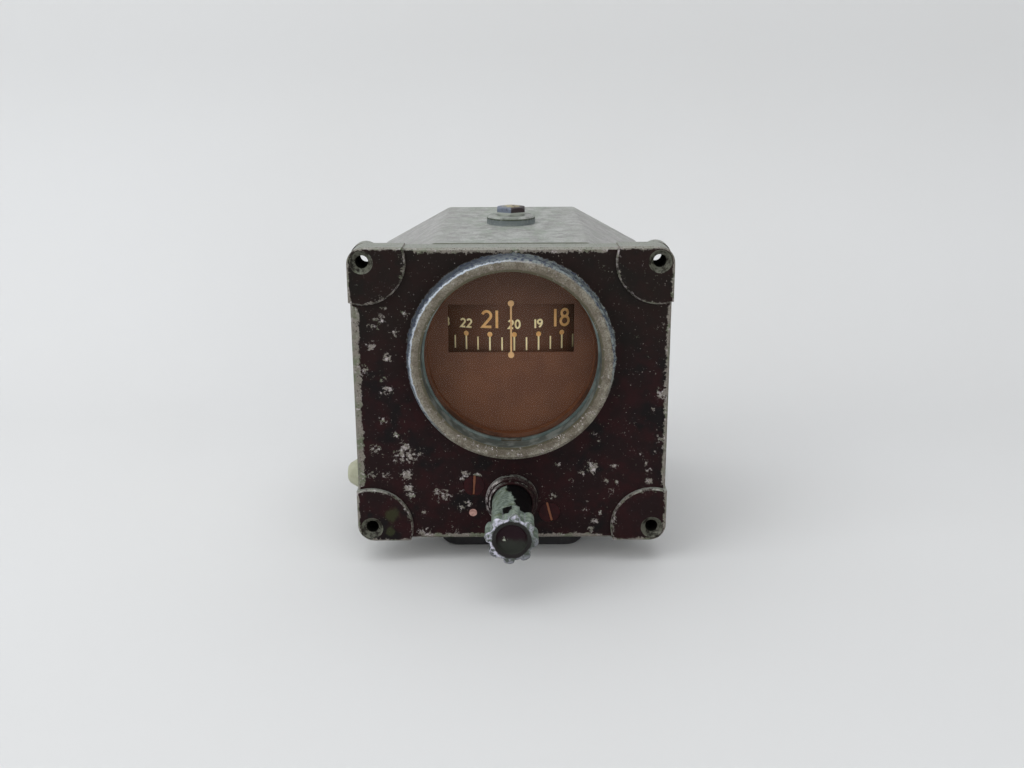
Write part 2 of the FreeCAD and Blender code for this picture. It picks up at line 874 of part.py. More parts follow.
def outer_race(z):
    return sleeve(race_outer, race_split, z, z + race_height)


def inner_race(z):
    return sleeve(race_split - running_gap, pivot_radius, z, z + race_height)


# The space inside the upright ring, as deep as its hubs
def ring_space():
    return rod(vring_inner, spin_point(-vring_hub_radius), spin_point(vring_hub_radius))


# The upright ring of the azimuth gimbal, with hubs at its poles and bearing bosses at its sides
def vertical_ring():
    half = vring_width / 2
    rim = pipe(vring_outer, vring_inner, spin_point(-half), spin_point(half))
    top = spindle(vring_hub_radius, vring_top_z - vring_hub_height, vring_top_z)
    bottom = spindle(vring_hub_radius, vring_bottom_z, vring_bottom_z + vring_hub_height)
    reach = vring_outer + vring_boss_reach
    sides = [rod(vring_boss_radius, tilt_point(s * vring_inner), tilt_point(s * reach)) for s in (-1, 1)]
    body = rim.fuse([top, bottom] + sides).cut(ring_space())
    bores = [rod(tilt_race_outer, tilt_point(-reach), tilt_point(reach))]
    bores.append(spindle(pivot_radius, vring_top_z - vring_hub_height, vring_top_z))
    bores.append(spindle(pivot_radius, vring_bottom_z, vring_bottom_z + vring_hub_height))
    tapped = vring_top_z - vring_hub_height + screw_slack / 2
    bores += [post(small_head[2], x, y, tapped, vring_top_z) for x, y in card_screw_places()]
    return body.cut(bores).removeSplitter()


def card_screw_places():
    turns = [math.radians(angle) for angle in card_screw_angles]
    return [(card_screw_circle * math.cos(a), gyro_y + card_screw_circle * math.sin(a)) for a in turns]


def heading_card():
    return sleeve(card_radius, card_radius - card_wall, card_low_z, card_high_z)


def card_spider():
    outer = card_radius - card_wall
    rim = sleeve(outer, outer - spider_rim, vring_top_z, card_high_z)
    hub = spindle(vring_hub_radius, vring_top_z, card_high_z)
    long_arm = outer - spider_rim / 2
    half = spider_arm / 2
    arms = [block(vec(-x, gyro_y - y, vring_top_z), vec(x, gyro_y + y, card_high_z))
            for x, y in ((long_arm, half), (half, long_arm))]
    clear = small_head[2] + hole_play
    holes = [post(clear, x, y, vring_top_z, card_high_z) for x, y in card_screw_places()]
    holes.append(spindle(pivot_radius, vring_top_z, card_high_z))
    return rim.fuse([hub] + arms).cut(holes).removeSplitter()


def card_screws():
    length = spider_thickness + vring_hub_height - screw_slack * 2
    return group([screw(small_head, vec(x, y, card_high_z), up, length) for x, y in card_screw_places()])


def upper_pivot():
    top = upper_race_z + race_height
    bottom = vring_top_z - vring_hub_height
    return turned([(0, bottom), (pivot_radius, bottom), (pivot_radius, card_high_z),
                   (pivot_shoulder, card_high_z), (pivot_shoulder, upper_race_z),
                   (pivot_radius, upper_race_z), (pivot_radius, top),
                   (pivot_radius - pivot_point, top + pivot_point), (0, top + pivot_point)],
                  on_gyro_axis(0), up)


# Hollow, so that air reaches the nozzle from the filter
def lower_pivot():
    shoulder = lower_race_z + race_height
    under_gear = crown_root_z - crown_web
    top = vring_bottom_z + vring_hub_height
    return turned([(air_bore, lower_race_z), (pivot_radius, lower_race_z), (pivot_radius, shoulder),
                   (pivot_shoulder, shoulder), (pivot_shoulder, under_gear), (pivot_radius, under_gear),
                   (pivot_radius, top), (air_bore, top)], on_gyro_axis(0), up)


# The jet block on the inside of the ring, blowing along X at the bottom of the rotor
def air_nozzle():
    floor = gimbal_z - vring_inner
    neck = floor + nozzle_base_height
    top = gimbal_z - nozzle_top
    base = spindle(nozzle_base, floor, neck).common(ring_space())
    half_l = nozzle_length / 2
    half_w = nozzle_width / 2
    head = rounded_block(vec(-half_l, gyro_y - half_w, (floor + neck) / 2), vec(half_l, gyro_y + half_w, top),
                         nozzle_corner, up)
    jet_z = (neck + top) / 2
    riser = spindle(air_bore, floor, jet_z)
    jet = rod(jet_radius, vec(0, gyro_y, jet_z), vec(half_l * 2, gyro_y, jet_z + jet_radius))
    return base.fuse(head).cut([riser, jet]).removeSplitter()


def tilt_point(reach):
    return gyro_centre + right * reach


def spin_point(reach):
    return gyro_centre + rearward * reach


# Two collars, one on each side of the gyro centre; point places them on an axis
def collar_pair(point, outer, inner, near, far):
    return group([pipe(outer, inner, point(side * near), point(side * far)) for side in (-1, 1)])


def tilt_race(outer, inner):
    far = vring_outer - race_play
    return collar_pair(tilt_point, outer, inner, far - tilt_race_width, far)


def tilt_outer_races():
    return tilt_race(tilt_race_outer, tilt_race_split)


def tilt_inner_races():
    return tilt_race(tilt_race_split - running_gap, tilt_pin_radius)


# The inner ring: bosses for the tilt pins on X and for the rotor bearings on Y
def rotor_ring():
    half = inner_ring_height / 2
    rim = pipe(inner_ring_outer, inner_ring_bore, gyro_centre - up * half, gyro_centre + up * half)
    bosses = []
    for side in (-1, 1):
        far = side * gimbal_reach
        bosses.append(rod(tilt_boss_radius, tilt_point(side * tilt_pin_root), tilt_point(far)))
        bosses.append(rod(bearing_boss_radius, spin_point(side * inner_ring_bore), spin_point(far)))
    over = up * bearing_boss_radius
    body = rim.fuse(bosses).cut(rod(inner_ring_bore, gyro_centre - over, gyro_centre + over))
    bores = [rod(tilt_pin_radius, tilt_point(-gimbal_reach), tilt_point(gimbal_reach)),
             rod(rotor_race_outer, spin_point(-gimbal_reach), spin_point(gimbal_reach))]
    return body.cut(bores).removeSplitter()


def tilt_pivots():
    ends = [(tilt_point(side * tilt_pin_root), tilt_point(side * vring_outer)) for side in (-1, 1)]
    return group([rod(tilt_pin_radius, near, far) for near, far in ends])


def rotor_race(outer, inner):
    return collar_pair(spin_point, outer, inner, journal_shoulder + race_play, rotor_race_end)


def rotor_outer_races():
    return rotor_race(rotor_race_outer, rotor_race_split)


def rotor_inner_races():
    return rotor_race(rotor_race_split - running_gap, journal_radius)


def rotor_bearing_caps():
    caps = []
    for side in (-1, 1):
        seat = spin_point(side * gimbal_reach)
        out = rearward * side
        cap = rod(bearing_boss_radius, seat, seat + out * bearing_cap_thickness)
        plug = rod(rotor_race_outer, seat - out, seat)
        stud = rod(stud_radius, seat, spin_point(side * stud_reach))
        caps.append(cap.fuse([plug, stud]).removeSplitter())
    return group(caps)


def balance_nuts():
    start = gimbal_reach + bearing_cap_thickness
    return collar_pair(spin_point, nut_radius, stud_radius, start, start + nut_thickness)


# One tooth-shaped notch in the rim, steep on the side that the jet strikes
def bucket(turn):
    half_pitch = math.pi / bucket_count
    root = rotor_radius - bucket_depth
    angles = [turn + half_pitch * share for share in bucket_shares]
    polar = zip((rotor_radius + 1, root, root, rotor_radius + 1), angles)
    outline = [(radius * math.sin(angle), gimbal_z + radius * math.cos(angle)) for radius, angle in polar]
    return slab(outline, gyro_y - bucket_width / 2, gyro_y + bucket_width / 2)


def rotor_wheel():
    rim = rotor_radius - rotor_rim
    half = rotor_width / 2
    web = rotor_web / 2
    hub_end = rotor_hub_width / 2
    edge = rotor_edge
    rear_half = [(rotor_radius, half - edge), (rotor_radius - edge, half), (rim, half), (rim - edge, web),
                 (rotor_hub + edge, web), (rotor_hub, hub_end), (shaft_radius, hub_end)]
    front_half = [(radius, -along) for radius, along in reversed(rear_half)]
    wheel = turned(front_half + rear_half, gyro_centre, rearward)
    return wheel.cut([bucket(2 * math.pi * k / bucket_count) for k in range(bucket_count)])


def rotor_shaft():
    rear_half = [(shaft_radius, journal_shoulder), (journal_radius, journal_shoulder),
                 (journal_radius, rotor_race_end), (0, rotor_race_end)]
    front_half = [(radius, -along) for radius, along in reversed(rear_half)]
    return turned(front_half + rear_half, gyro_centre, rearward)


# A lobed head with a dished face on a plain hub
def caging_knob():
    head = knob_bar(head_radius, head_front, head_back)
    for k in range(lobe_count):
        turn = 2 * math.pi * k / lobe_count + math.radians(lobe_phase)
        x = lobe_circle * math.sin(turn)
        z = lobe_circle * math.cos(turn)
        head = head.fuse(knob_bar(lobe_radius, head_front, head_back, x, z))
    tip = lobe_circle + lobe_radius
    bevel = turned([(0, head_front), (tip - head_edge, head_front), (tip, head_front + head_edge),
                    (tip, head_back - head_edge), (tip - head_edge, head_back), (0, head_back)],
                   knob_point(0), rearward)
    head = head.common(bevel).removeSplitter()
    hub = knob_bar(hub_radius, head_back - 1, hub_back)
    dish = turned([(0, 0), (dish_radius, 0), (dish_floor_radius, dish_depth), (0, dish_depth)],
                  knob_point(head_front), rearward)
    bore = knob_bar(knob_shaft_radius, shaft_front, hub_back)
    tapped = rod(set_screw_radius, knob_point(set_screw_at), knob_point(set_screw_at, 0, -hub_radius))
    return head.fuse(hub).cut([dish, bore, tapped]).removeSplitter()


# A headless screw under the hub, bearing on the shaft
def knob_set_screw():
    foot = knob_point(set_screw_at, 0, -knob_shaft_radius)
    end = knob_point(set_screw_at, 0, set_screw_recess - hub_radius)
    half = vec(set_screw_radius * slot_share, set_screw_radius, 0)
    slot = block(end - half, end + half + up * set_screw_slot)
    return rod(set_screw_radius, foot, end).cut(slot)


def knob_shaft():
    return knob_bar(knob_shaft_radius, shaft_front, shaft_back)


# Two collars that trap the yoke on the shaft
def shaft_collars():
    starts = (yoke_front - yoke_gap - collar_width, back_collar_front)
    ends = [(knob_point(start), knob_point(start + collar_width)) for start in starts]
    return group([pipe(collar_radius, knob_shaft_radius, near, far) for near, far in ends])


# A forked plate with a long bush that slides on the guide rod
def shift_yoke():
    slot = knob_shaft_radius + yoke_slot_clearance
    back = yoke_front + yoke_thickness
    bush_front = yoke_front - yoke_bush_length / 2
    bush_back = bush_front + yoke_bush_length
    low = knob_point(yoke_front, -yoke_fork_reach, -yoke_half_height)
    plate = rounded_block(low, knob_point(back, rod_offset, yoke_half_height), yoke_corner, rearward)
    bush = knob_bar(yoke_bush_radius, bush_front, bush_back, rod_offset)
    throat = block(knob_point(yoke_front, -yoke_fork_reach, -slot), knob_point(back, 0, slot))
    cuts = [knob_bar(slot, yoke_front, back), throat]
    cuts.append(knob_bar(rod_radius + running_gap, bush_front, bush_back, rod_offset))
    return plate.fuse(bush).cut(cuts).removeSplitter()


# The half angle of a pinion tooth at a radius, on an involute flank
def tooth_half_angle(radius):
    base = pinion_pitch_radius * math.cos(math.radians(pressure_angle))
    at_pitch = tooth_share * math.pi / pinion_teeth
    here = math.acos(min(1.0, base / radius))
    there = math.radians(pressure_angle)
    return at_pitch + (math.tan(there) - there) - (math.tan(here) - here)


def sync_pinion():
    root = pinion_pitch_radius - dedendum
    tip = pinion_pitch_radius + addendum
    middle_radius = pinion_pitch_radius
    radii = [root, (root + middle_radius) / 2, middle_radius, (middle_radius + tip) / 2, tip]
    outline = []
    for k in range(pinion_teeth):
        middle = 2 * math.pi * k / pinion_teeth
        flank = [(radius, tooth_half_angle(radius)) for radius in radii]
        sides = [(r, middle - a) for r, a in flank] + [(r, middle + a) for r, a in reversed(flank)]
        outline += [(-r * math.sin(a), knob_z - r * math.cos(a)) for r, a in sides]
    front = gear_depth - tooth_face / 2
    teeth = slab(outline, pad_y + front, pad_y + front + tooth_face)
    hub = knob_bar(pinion_hub_radius, front - pinion_hub_length, front)
    return teeth.fuse(hub).cut(knob_bar(knob_shaft_radius, 0, shaft_back)).removeSplitter()


# One crown tooth lying along the radius that points at the knob
def crown_tooth():
    lean = math.tan(math.radians(pressure_angle))
    half = tooth_share * pitch / 2
    top = half - addendum * lean
    foot = half + dedendum * lean
    base_z = crown_root_z - tooth_sink
    tip_z = crown_pitch_z + addendum
    outline = [(-foot, base_z), (-foot, crown_root_z), (-top, tip_z), (top, tip_z), (foot, crown_root_z),
               (foot, base_z)]
    near = gyro_y - crown_pitch_radius - tooth_face / 2
    return slab(outline, near, near + tooth_face)


def crown_web_openings():
    low = crown_root_z - crown_web
    ring = sleeve(crown_rim_inner, crown_hub_radius + 2, low, crown_root_z)
    half = crown_spoke_width / 2
    reach = crown_rim_inner + 1
    spokes = []
    for k in range(crown_spokes):
        spoke = block(vec(0, gyro_y - half, low), vec(reach, gyro_y + half, crown_root_z))
        spoke.rotate(on_gyro_axis(0), up, 360 * k / crown_spokes)
        spokes.append(spoke)
    return ring.cut(spokes)


# The crown gear that the knob turns: 80 teeth standing up from a spoked disc
def sync_gear():
    low = crown_root_z - crown_web
    rim = crown_pitch_radius + tooth_face / 2 + crown_edge
    disc = spindle(rim, low, crown_root_z)
    hub = spindle(crown_hub_radius, low, vring_bottom_z)
    teeth = []
    for k in range(crown_teeth):
        tooth = crown_tooth()
        tooth.rotate(on_gyro_axis(0), up, 360 * (k + 0.5) / crown_teeth)
        teeth.append(tooth)
    gear = disc.cut(crown_web_openings()).fuse([hub] + teeth)
    return gear.cut(spindle(pivot_radius, low, vring_bottom_z)).removeSplitter()


def upper_outer_race():
    return outer_race(upper_race_z)


def lower_outer_race():
    return outer_race(lower_race_z)


def upper_inner_race():
    return inner_race(upper_race_z)


def lower_inner_race():
    return inner_race(lower_race_z)


pieces = [front_frame, window_glass, glass_gasket, glass_retaining_ring, mask_plate, mask_screws, lubber_line,
          frame_gasket, case_body, frame_screws, rear_cover, rear_cover_gasket, rear_cover_screws,
          upper_bearing_bush, top_plug_washer, top_plug, side_port_cap, bottom_cover, bottom_cover_gasket,
          bottom_cover_screws, air_filter, caging_bracket, knob_bushing, caging_screws, locating_pin,
          yoke_guide_rod, upper_outer_race, lower_outer_race, vertical_ring, heading_card, card_spider,
          card_screws, upper_pivot, lower_pivot, upper_inner_race, lower_inner_race, air_nozzle,
          tilt_outer_races, tilt_inner_races, rotor_ring, tilt_pivots, rotor_outer_races, rotor_inner_races,
          rotor_bearing_caps, balance_nuts, rotor_wheel, rotor_shaft, caging_knob, knob_set_screw, knob_shaft,
          shaft_collars, shift_yoke, sync_pinion, sync_gear]

os.makedirs("parts", exist_ok=True)
for make in pieces:
    shape = make()
    shape.exportStep("parts/" + make.__name__ + ".step")
    print(make.__name__, len(shape.Solids), round(shape.Volume, 1), shape.isValid())
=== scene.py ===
import json
import math
import bpy
import bmesh
from mathutils import Matrix, Vector


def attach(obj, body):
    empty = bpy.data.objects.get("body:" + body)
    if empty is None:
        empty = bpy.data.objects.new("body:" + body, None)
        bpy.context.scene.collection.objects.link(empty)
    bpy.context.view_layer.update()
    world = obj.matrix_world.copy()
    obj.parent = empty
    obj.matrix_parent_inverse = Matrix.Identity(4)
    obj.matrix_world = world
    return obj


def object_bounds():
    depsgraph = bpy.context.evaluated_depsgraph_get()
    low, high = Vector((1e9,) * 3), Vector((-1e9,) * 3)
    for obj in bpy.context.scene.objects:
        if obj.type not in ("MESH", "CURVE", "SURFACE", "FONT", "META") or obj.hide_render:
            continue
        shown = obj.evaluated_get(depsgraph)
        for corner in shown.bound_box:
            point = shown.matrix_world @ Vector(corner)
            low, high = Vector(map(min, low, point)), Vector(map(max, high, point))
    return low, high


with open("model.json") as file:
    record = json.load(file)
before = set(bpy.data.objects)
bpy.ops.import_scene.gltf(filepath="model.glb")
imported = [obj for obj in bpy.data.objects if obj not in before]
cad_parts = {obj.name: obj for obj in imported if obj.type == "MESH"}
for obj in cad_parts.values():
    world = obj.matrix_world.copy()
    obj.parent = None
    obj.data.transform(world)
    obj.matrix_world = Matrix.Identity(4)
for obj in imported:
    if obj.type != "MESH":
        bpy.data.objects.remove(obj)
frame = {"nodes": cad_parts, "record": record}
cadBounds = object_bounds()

mm = 0.001

# where the main forms sit, in millimetres
places = {
    'window': (0, 17.8),        # x, z of the bezel
    'knob': (0, -45.5),
    'faceY': -16.5,             # plane of the painted face
    'gyro': (54.0, -4.5),       # y of the card's axis, z of the gimbals
    'cardRadius': 59.5,
    'plateHalf': (66.675, 64.15),
}


def srgb(red, green, blue):
    def linear(value):
        value /= 255
        return value / 12.92 if value <= 0.04045 else ((value + 0.055) / 1.055) ** 2.4
    return (linear(red), linear(green), linear(blue), 1.0)


# small helpers for building shader trees
def startMaterial(name):
    material = bpy.data.materials.new(name)
    material.use_nodes = True
    tree = material.node_tree
    tree.nodes.clear()
    output = tree.nodes.new('ShaderNodeOutputMaterial')
    shader = tree.nodes.new('ShaderNodeBsdfPrincipled')
    tree.links.new(shader.outputs['BSDF'], output.inputs['Surface'])
    return {'material': material, 'tree': tree, 'shader': shader}


def feed(m, socket, value):
    if isinstance(value, bpy.types.NodeSocket):
        m['tree'].links.new(value, socket)
    else:
        socket.default_value = value


def put(m, kind, inputs=None, **settings):
    node = m['tree'].nodes.new('ShaderNode' + kind)
    for key, value in settings.items():
        setattr(node, key, value)
    for key, value in (inputs or {}).items():
        feed(m, node.inputs[key], value)
    return node


def maths(m, operation, first, second=0.0):
    return put(m, 'Math', {0: first, 1: second}, operation=operation).outputs[0]


def both(m, first, second):
    return maths(m, 'MULTIPLY', first, second)


def either(m, first, second):
    return maths(m, 'MAXIMUM', first, second)


def inMillimetres(m, value):
    return maths(m, 'MULTIPLY', value, 1000.0)


def place(m):
    if 'place' not in m:
        m['place'] = put(m, 'TexCoord').outputs['Object']
    return m['place']


def noise(m, size, detail=3.0, rough=0.55, stretch=(1, 1, 1), distort=0.0):
    # size is the width of a blotch in millimetres
    where = put(m, 'Mapping', {'Vector': place(m), 'Scale': stretch}).outputs[0]
    return put(m, 'TexNoise', {'Vector': where, 'Scale': 1000.0 / size, 'Detail': detail,
                               'Roughness': rough, 'Distortion': distort}).outputs[0]


def step(m, value, low, high):
    return put(m, 'MapRange', {'Value': value, 'From Min': low, 'From Max': high},
               interpolation_type='SMOOTHSTEP').outputs[0]


def spread(m, value, low, high):
    return put(m, 'MapRange', {'Value': value, 'To Min': low, 'To Max': high}).outputs[0]


def blend(m, factor, first, second):
    node = put(m, 'Mix', data_type='RGBA')
    feed(m, node.inputs[0], factor)
    feed(m, node.inputs[6], first)
    feed(m, node.inputs[7], second)
    return node.outputs[2]


def axis(m, letter):
    if 'axes' not in m:
        m['axes'] = put(m, 'SeparateXYZ', {0: place(m)})
    return m['axes'].outputs['XYZ'.index(letter)]


def awayFrom(m, x, z):
    # distance from a line along Y, in metres
    if 'flat' not in m:
        m['flat'] = put(m, 'VectorMath', {0: place(m), 1: (1, 0, 1)}, operation='MULTIPLY').outputs[0]
    return put(m, 'VectorMath', {0: m['flat'], 1: (x * mm, 0, z * mm)}, operation='DISTANCE').outputs['Value']


def awayFromPlug(m):
    # distance from the card's upright axis, in metres
    centre = (0, places['gyro'][0] * mm, 0)
    shifted = put(m, 'VectorMath', {0: place(m), 1: centre}, operation='SUBTRACT').outputs[0]
    flat = put(m, 'VectorMath', {0: shifted, 1: (1, 1, 0)}, operation='MULTIPLY').outputs[0]
    return put(m, 'VectorMath', {0: flat}, operation='LENGTH').outputs['Value']


def facing(m):
    # one where the surface looks to the front, nought where it looks sideways
    surface = put(m, 'NewGeometry').outputs['Normal']
    return put(m, 'VectorMath', {0: surface, 1: (0, -1, 0)}, operation='DOT_PRODUCT').outputs['Value']


def softNormal(m, radius):
    return put(m, 'Bevel', {'Radius': radius * mm}, samples=6).outputs[0]


def edgeWear(m, radius):
    # nought on flats, rising where the surface turns within the radius
    surface = put(m, 'NewGeometry').outputs['Normal']
    dot = put(m, 'VectorMath', {0: softNormal(m, radius), 1: surface}, operation='DOT_PRODUCT')
    return maths(m, 'SUBTRACT', 1.0, dot.outputs['Value'])


def bump(m, height, depth, strength=1.0, normal=None):
    inputs = {'Height': height, 'Distance': depth * mm, 'Strength': strength}
    if normal is not None:
        inputs['Normal'] = normal
    return put(m, 'Bump', inputs).outputs[0]


def dress(m, colour, roughness, metallic=0.0, normal=None, specular=None):
    shader = m['shader']
    feed(m, shader.inputs['Base Color'], colour)
    feed(m, shader.inputs['Roughness'], roughness)
    feed(m, shader.inputs['Metallic'], metallic)
    if specular is not None:
        shader.inputs['Specular IOR Level'].default_value = specular
    if normal is not None:
        feed(m, shader.inputs['Normal'], normal)
    return m['material']


# lacquered screws of the caging gear, rubbed paler in their slots: x, z and turn of each
darkScrew = {'head': srgb(38, 13, 16), 'headWarm': srgb(50, 17, 19), 'slot': srgb(168, 110, 84),
             'slotY': -16.2, 'reach': 4.6, 'slotHalf': 0.5,
             'at': ((-16.2, -39.3, -4.0), (16.3, -51.7, 14.0))}

# black paint on the face casting, chipped to grey metal
facePaint = {
    'paint': srgb(28, 13, 14), 'paintRed': srgb(38, 13, 15), 'paintCool': srgb(17, 12, 13),
    'paintOlive': srgb(27, 22, 17), 'moss': srgb(50, 53, 32),
    'sink': srgb(98, 100, 88), 'sinkDark': srgb(42, 40, 34),
    'metal': srgb(132, 126, 118), 'metalPaleAndHighlight': srgb(184, 176, 176), 'metalDark': srgb(78, 72, 64),
    'green': srgb(108, 114, 94), 'litTopMetal': srgb(156, 160, 152), 'holeShade': srgb(12, 10, 9),
    'chipWidth': 1.35, 'chipLevel': 0.640, 'fleckWidth': 0.8, 'fleckLevel': 0.722,
    'strips': {'left': 3.7, 'right': 2.3, 'top': 2.5, 'bottom': 2.6}, 'padStrip': 1.0, 'padFrom': 39.5,
    'bezelReach': 43.6, 'innerReach': 37.3, 'innerFrom': -11.9,
    'holeAt': (60.575, 58.05), 'holeRadius': 2.72, 'sinkReach': 5.4,
    # the boss round the knob: its reach, where paint is kept and where a painted highlight makes bare metal
    # palest, on its left
    'bossReach': 13.0, 'bossPaint': (-7.0, -3.0), 'bossHighlight': (-2.0, -6.0),
    # x, z, reach and weight of the places where chips crowd together
    'wornSpots': ((-52, 38.5, 3, 0.12), (-53.5, 34, 5, 0.15), (-56.5, 31, 5, 0.15), (-48, 28, 4.5, 0.16),
                  (-58, 23, 4, 0.17), (-51.7, 17.7, 4, 0.17), (-62, 11.7, 5, 0.15), (-53.7, 8, 3, 0.15),
                  (-52, 4, 4.5, 0.16), (-55, 2.5, 3, 0.13), (-43.6, 36, 3, 0.14), (-40.5, 44, 3, 0.11),
                  (-54.3, -9.4, 4, 0.15), (-49.5, -16, 3.4, 0.18), (-45.4, -21.5, 5, 0.18),
                  (-48, -26, 7, 0.16), (-43.5, -26, 5, 0.18), (-39, -24, 4, 0.15), (-58, -23.3, 5, 0.13),
                  (-59.5, -34, 4, 0.14), (-54, -34, 5, 0.14), (-45.3, -34, 4.5, 0.20),
                  (-44.2, -40, 4, 0.17), (-43, -43, 4, 0.17), (-28.8, -44, 6, 0.15), (-32, -42, 5, 0.12),
                  (-21.8, -36.6, 3.4, 0.15), (-19.6, -34, 3.4, 0.15), (-14.9, -34.8, 3, 0.15),
                  (-21.5, -42, 3.4, 0.16), (-18.5, -47.3, 3.4, 0.15), (-24, -59.4, 4, 0.16),
                  (-38, -61, 6, 0.16), (-37.7, -51.8, 3, 0.13), (-22, -49.6, 3, 0.13), (35, -16, 3, 0.16),
                  (37, -19, 2.4, 0.14), (34.4, -31.4, 4.4, 0.22), (30.2, -34, 3.6, 0.15),
                  (26, -37.3, 3, 0.16), (40.5, -37.3, 2.6, 0.15), (44, -30.5, 3.6, 0.15),
                  (45, -37.8, 2, 0.18), (55.6, -25.5, 2.4, 0.15), (57.4, -29, 3, 0.16),
                  (58.8, -32.8, 3, 0.15), (59, -37.4, 3, 0.17), (62.5, 1, 5, 0.16), (60, -5, 3, 0.16),
                  (62.7, -18.8, 4, 0.15), (61.6, -24, 2.4, 0.14), (38.2, -52, 3, 0.17),
                  (36, -56, 3.6, 0.18), (34.4, -60, 4, 0.16), (32, -50.7, 3, 0.15),
                  (19.8, -29.5, 2.6, 0.15), (17.8, -44.2, 3.4, 0.14), (43.2, -41.5, 3.6, 0.10),
                  (62, 30, 6, 0.07), (38, 55, 4, 0.10)),
    # x, z and reach of dull green blotches on the corner pads
    'mossSpots': ((-51.4, -51.8, 3.8), (-52.4, -59.6, 2.6)),
    'padReach': 17.8, 'padRimWeight': 0.10,
}


def wander(m, field, reach):
    # the field taken as a shift of up to half the reach either way, in millimetres
    return both(m, maths(m, 'SUBTRACT', field, 0.5), reach)


def bareStrips(m, ragged, fine):
    # bare strips along the plate's rim, widest on the left and thin beside the corner pads
    p = facePaint
    x = inMillimetres(m, axis(m, 'X'))
    z = inMillimetres(m, axis(m, 'Z'))
    rag = maths(m, 'ADD', wander(m, ragged, 5.0), wander(m, fine, 3.2))
    halfWide, halfHigh = places['plateHalf']
    sides = {'left': ('SUBTRACT', x, z, halfWide), 'right': ('ADD', x, z, halfWide),
             'top': ('ADD', z, x, halfHigh), 'bottom': ('SUBTRACT', z, x, halfHigh)}
    whole = 0.0
    for side, (sign, across, along, limit) in sides.items():
        byPad = step(m, maths(m, 'ABSOLUTE', along), p['padFrom'] - 0.6, p['padFrom'] + 0.6)
        slack = both(m, byPad, p['strips'][side] - p['padStrip'])
        reach = maths(m, 'SUBTRACT', maths(m, sign, rag, across), slack)
        rim = limit - p['strips'][side]
        whole = either(m, whole, step(m, reach, rim - 0.2, rim + 0.2))
    return whole


def fromHoles(m):
    # distance from the nearest corner hole, in metres
    folded = put(m, 'VectorMath', {0: place(m)}, operation='ABSOLUTE').outputs[0]
    x, z = facePaint['holeAt']
    shifted = put(m, 'VectorMath', {0: folded, 1: (x * mm, 0, z * mm)}, operation='SUBTRACT').outputs[0]
    flat = put(m, 'VectorMath', {0: shifted, 1: (1, 0, 1)}, operation='MULTIPLY').outputs[0]
    return put(m, 'VectorMath', {0: flat}, operation='LENGTH').outputs['Value']


# the bezel, worn smooth: grey-brown on its flat with painted shade on the flat's inner half, bluish on the
# slope outside it with a painted dark blue reflection and a painted highlight on its upper left, dull green
# in its bore
bezelFinish = {
    'flat': srgb(146, 141, 128), 'flatWarm': srgb(106, 98, 86), 'inner': srgb(86, 82, 66),
    'slope': srgb(134, 142, 140), 'slopeDarkReflection': srgb(62, 68, 84), 'ridgeHighlight': srgb(188, 198, 210),
    'pit': srgb(80, 74, 64), 'bright': srgb(204, 196, 196),
    'lip': srgb(92, 99, 94), 'lipPale': srgb(134, 140, 134), 'boreReach': 38.5,
    'slopeFrom': 41.5, 'slopeTo': 42.3, 'innerEdge': 38.5, 'paintedLightFrom': 39.2, 'paintedLightTo': 40.8,
}


def bezelMetal(m, tone, grain):
    p = bezelFinish
    wx, wz = places['window']
    reach = awayFrom(m, wx, wz)
    rag = maths(m, 'ADD', reach, wander(m, noise(m, 2.0, 5.0, 0.75), 0.0024))
    slant = maths(m, 'SUBTRACT', axis(m, 'Z'), both(m, axis(m, 'X'), 1.6))
    # painted reflection and highlight: the upper left of the slope is kept dark blue, with a bright line
    # along its ridge
    paintedReflectionSide = step(m, slant, 0.030, 0.085)
    flat = blend(m, step(m, noise(m, 4.0, 6.0, 0.74), 0.42, 0.60), p['flat'], p['flatWarm'])
    # painted shade: the inner half of the flat is darkened towards the bore
    paintedLight = step(m, rag, p['paintedLightTo'] * mm, p['paintedLightFrom'] * mm)
    flat = blend(m, both(m, paintedLight, 0.55), flat, p['flatWarm'])
    flat = blend(m, step(m, rag, p['innerEdge'] * mm, (p['innerEdge'] - 0.5) * mm), flat, p['inner'])
    flat = blend(m, both(m, step(m, grain, 0.46, 0.62), 0.6), flat, p['pit'])
    bright = step(m, noise(m, 1.3, 4.0, 0.7), 0.58, 0.68)
    height = maths(m, 'SUBTRACT', axis(m, 'Z'), both(m, axis(m, 'X'), 0.3))
    lower = step(m, height, 0.004, -0.012)
    flat = blend(m, both(m, bright, spread(m, lower, 0.35, 0.9)), flat, p['bright'])
    chipped = step(m, noise(m, 1.8, 6.0, 0.76), 0.44, 0.54)
    chipped = both(m, chipped, spread(m, paintedReflectionSide, 1.0, 0.35))
    slope = blend(m, chipped, p['slopeDarkReflection'], p['slope'])
    slope = blend(m, both(m, lower, spread(m, paintedReflectionSide, 1.0, 0.0)), slope, flat)
    flat = blend(m, step(m, rag, p['slopeFrom'] * mm, p['slopeTo'] * mm), flat, slope)
    ridgeHighlight = maths(m, 'ABSOLUTE', maths(m, 'SUBTRACT', rag, (p['slopeFrom'] + 0.1) * mm))
    ridgeHighlight = both(m, step(m, ridgeHighlight, 0.0005, 0.0001), spread(m, paintedReflectionSide, 0.0, 0.85))
    flat = blend(m, ridgeHighlight, flat, p['ridgeHighlight'])
    inBore = step(m, reach, p['boreReach'] * mm, (p['boreReach'] - 0.5) * mm)
    bore = both(m, step(m, facing(m), 0.80, 0.55), inBore)
    wall = blend(m, step(m, tone, 0.46, 0.62), p['lip'], p['lipPale'])
    return blend(m, bore, flat, wall)


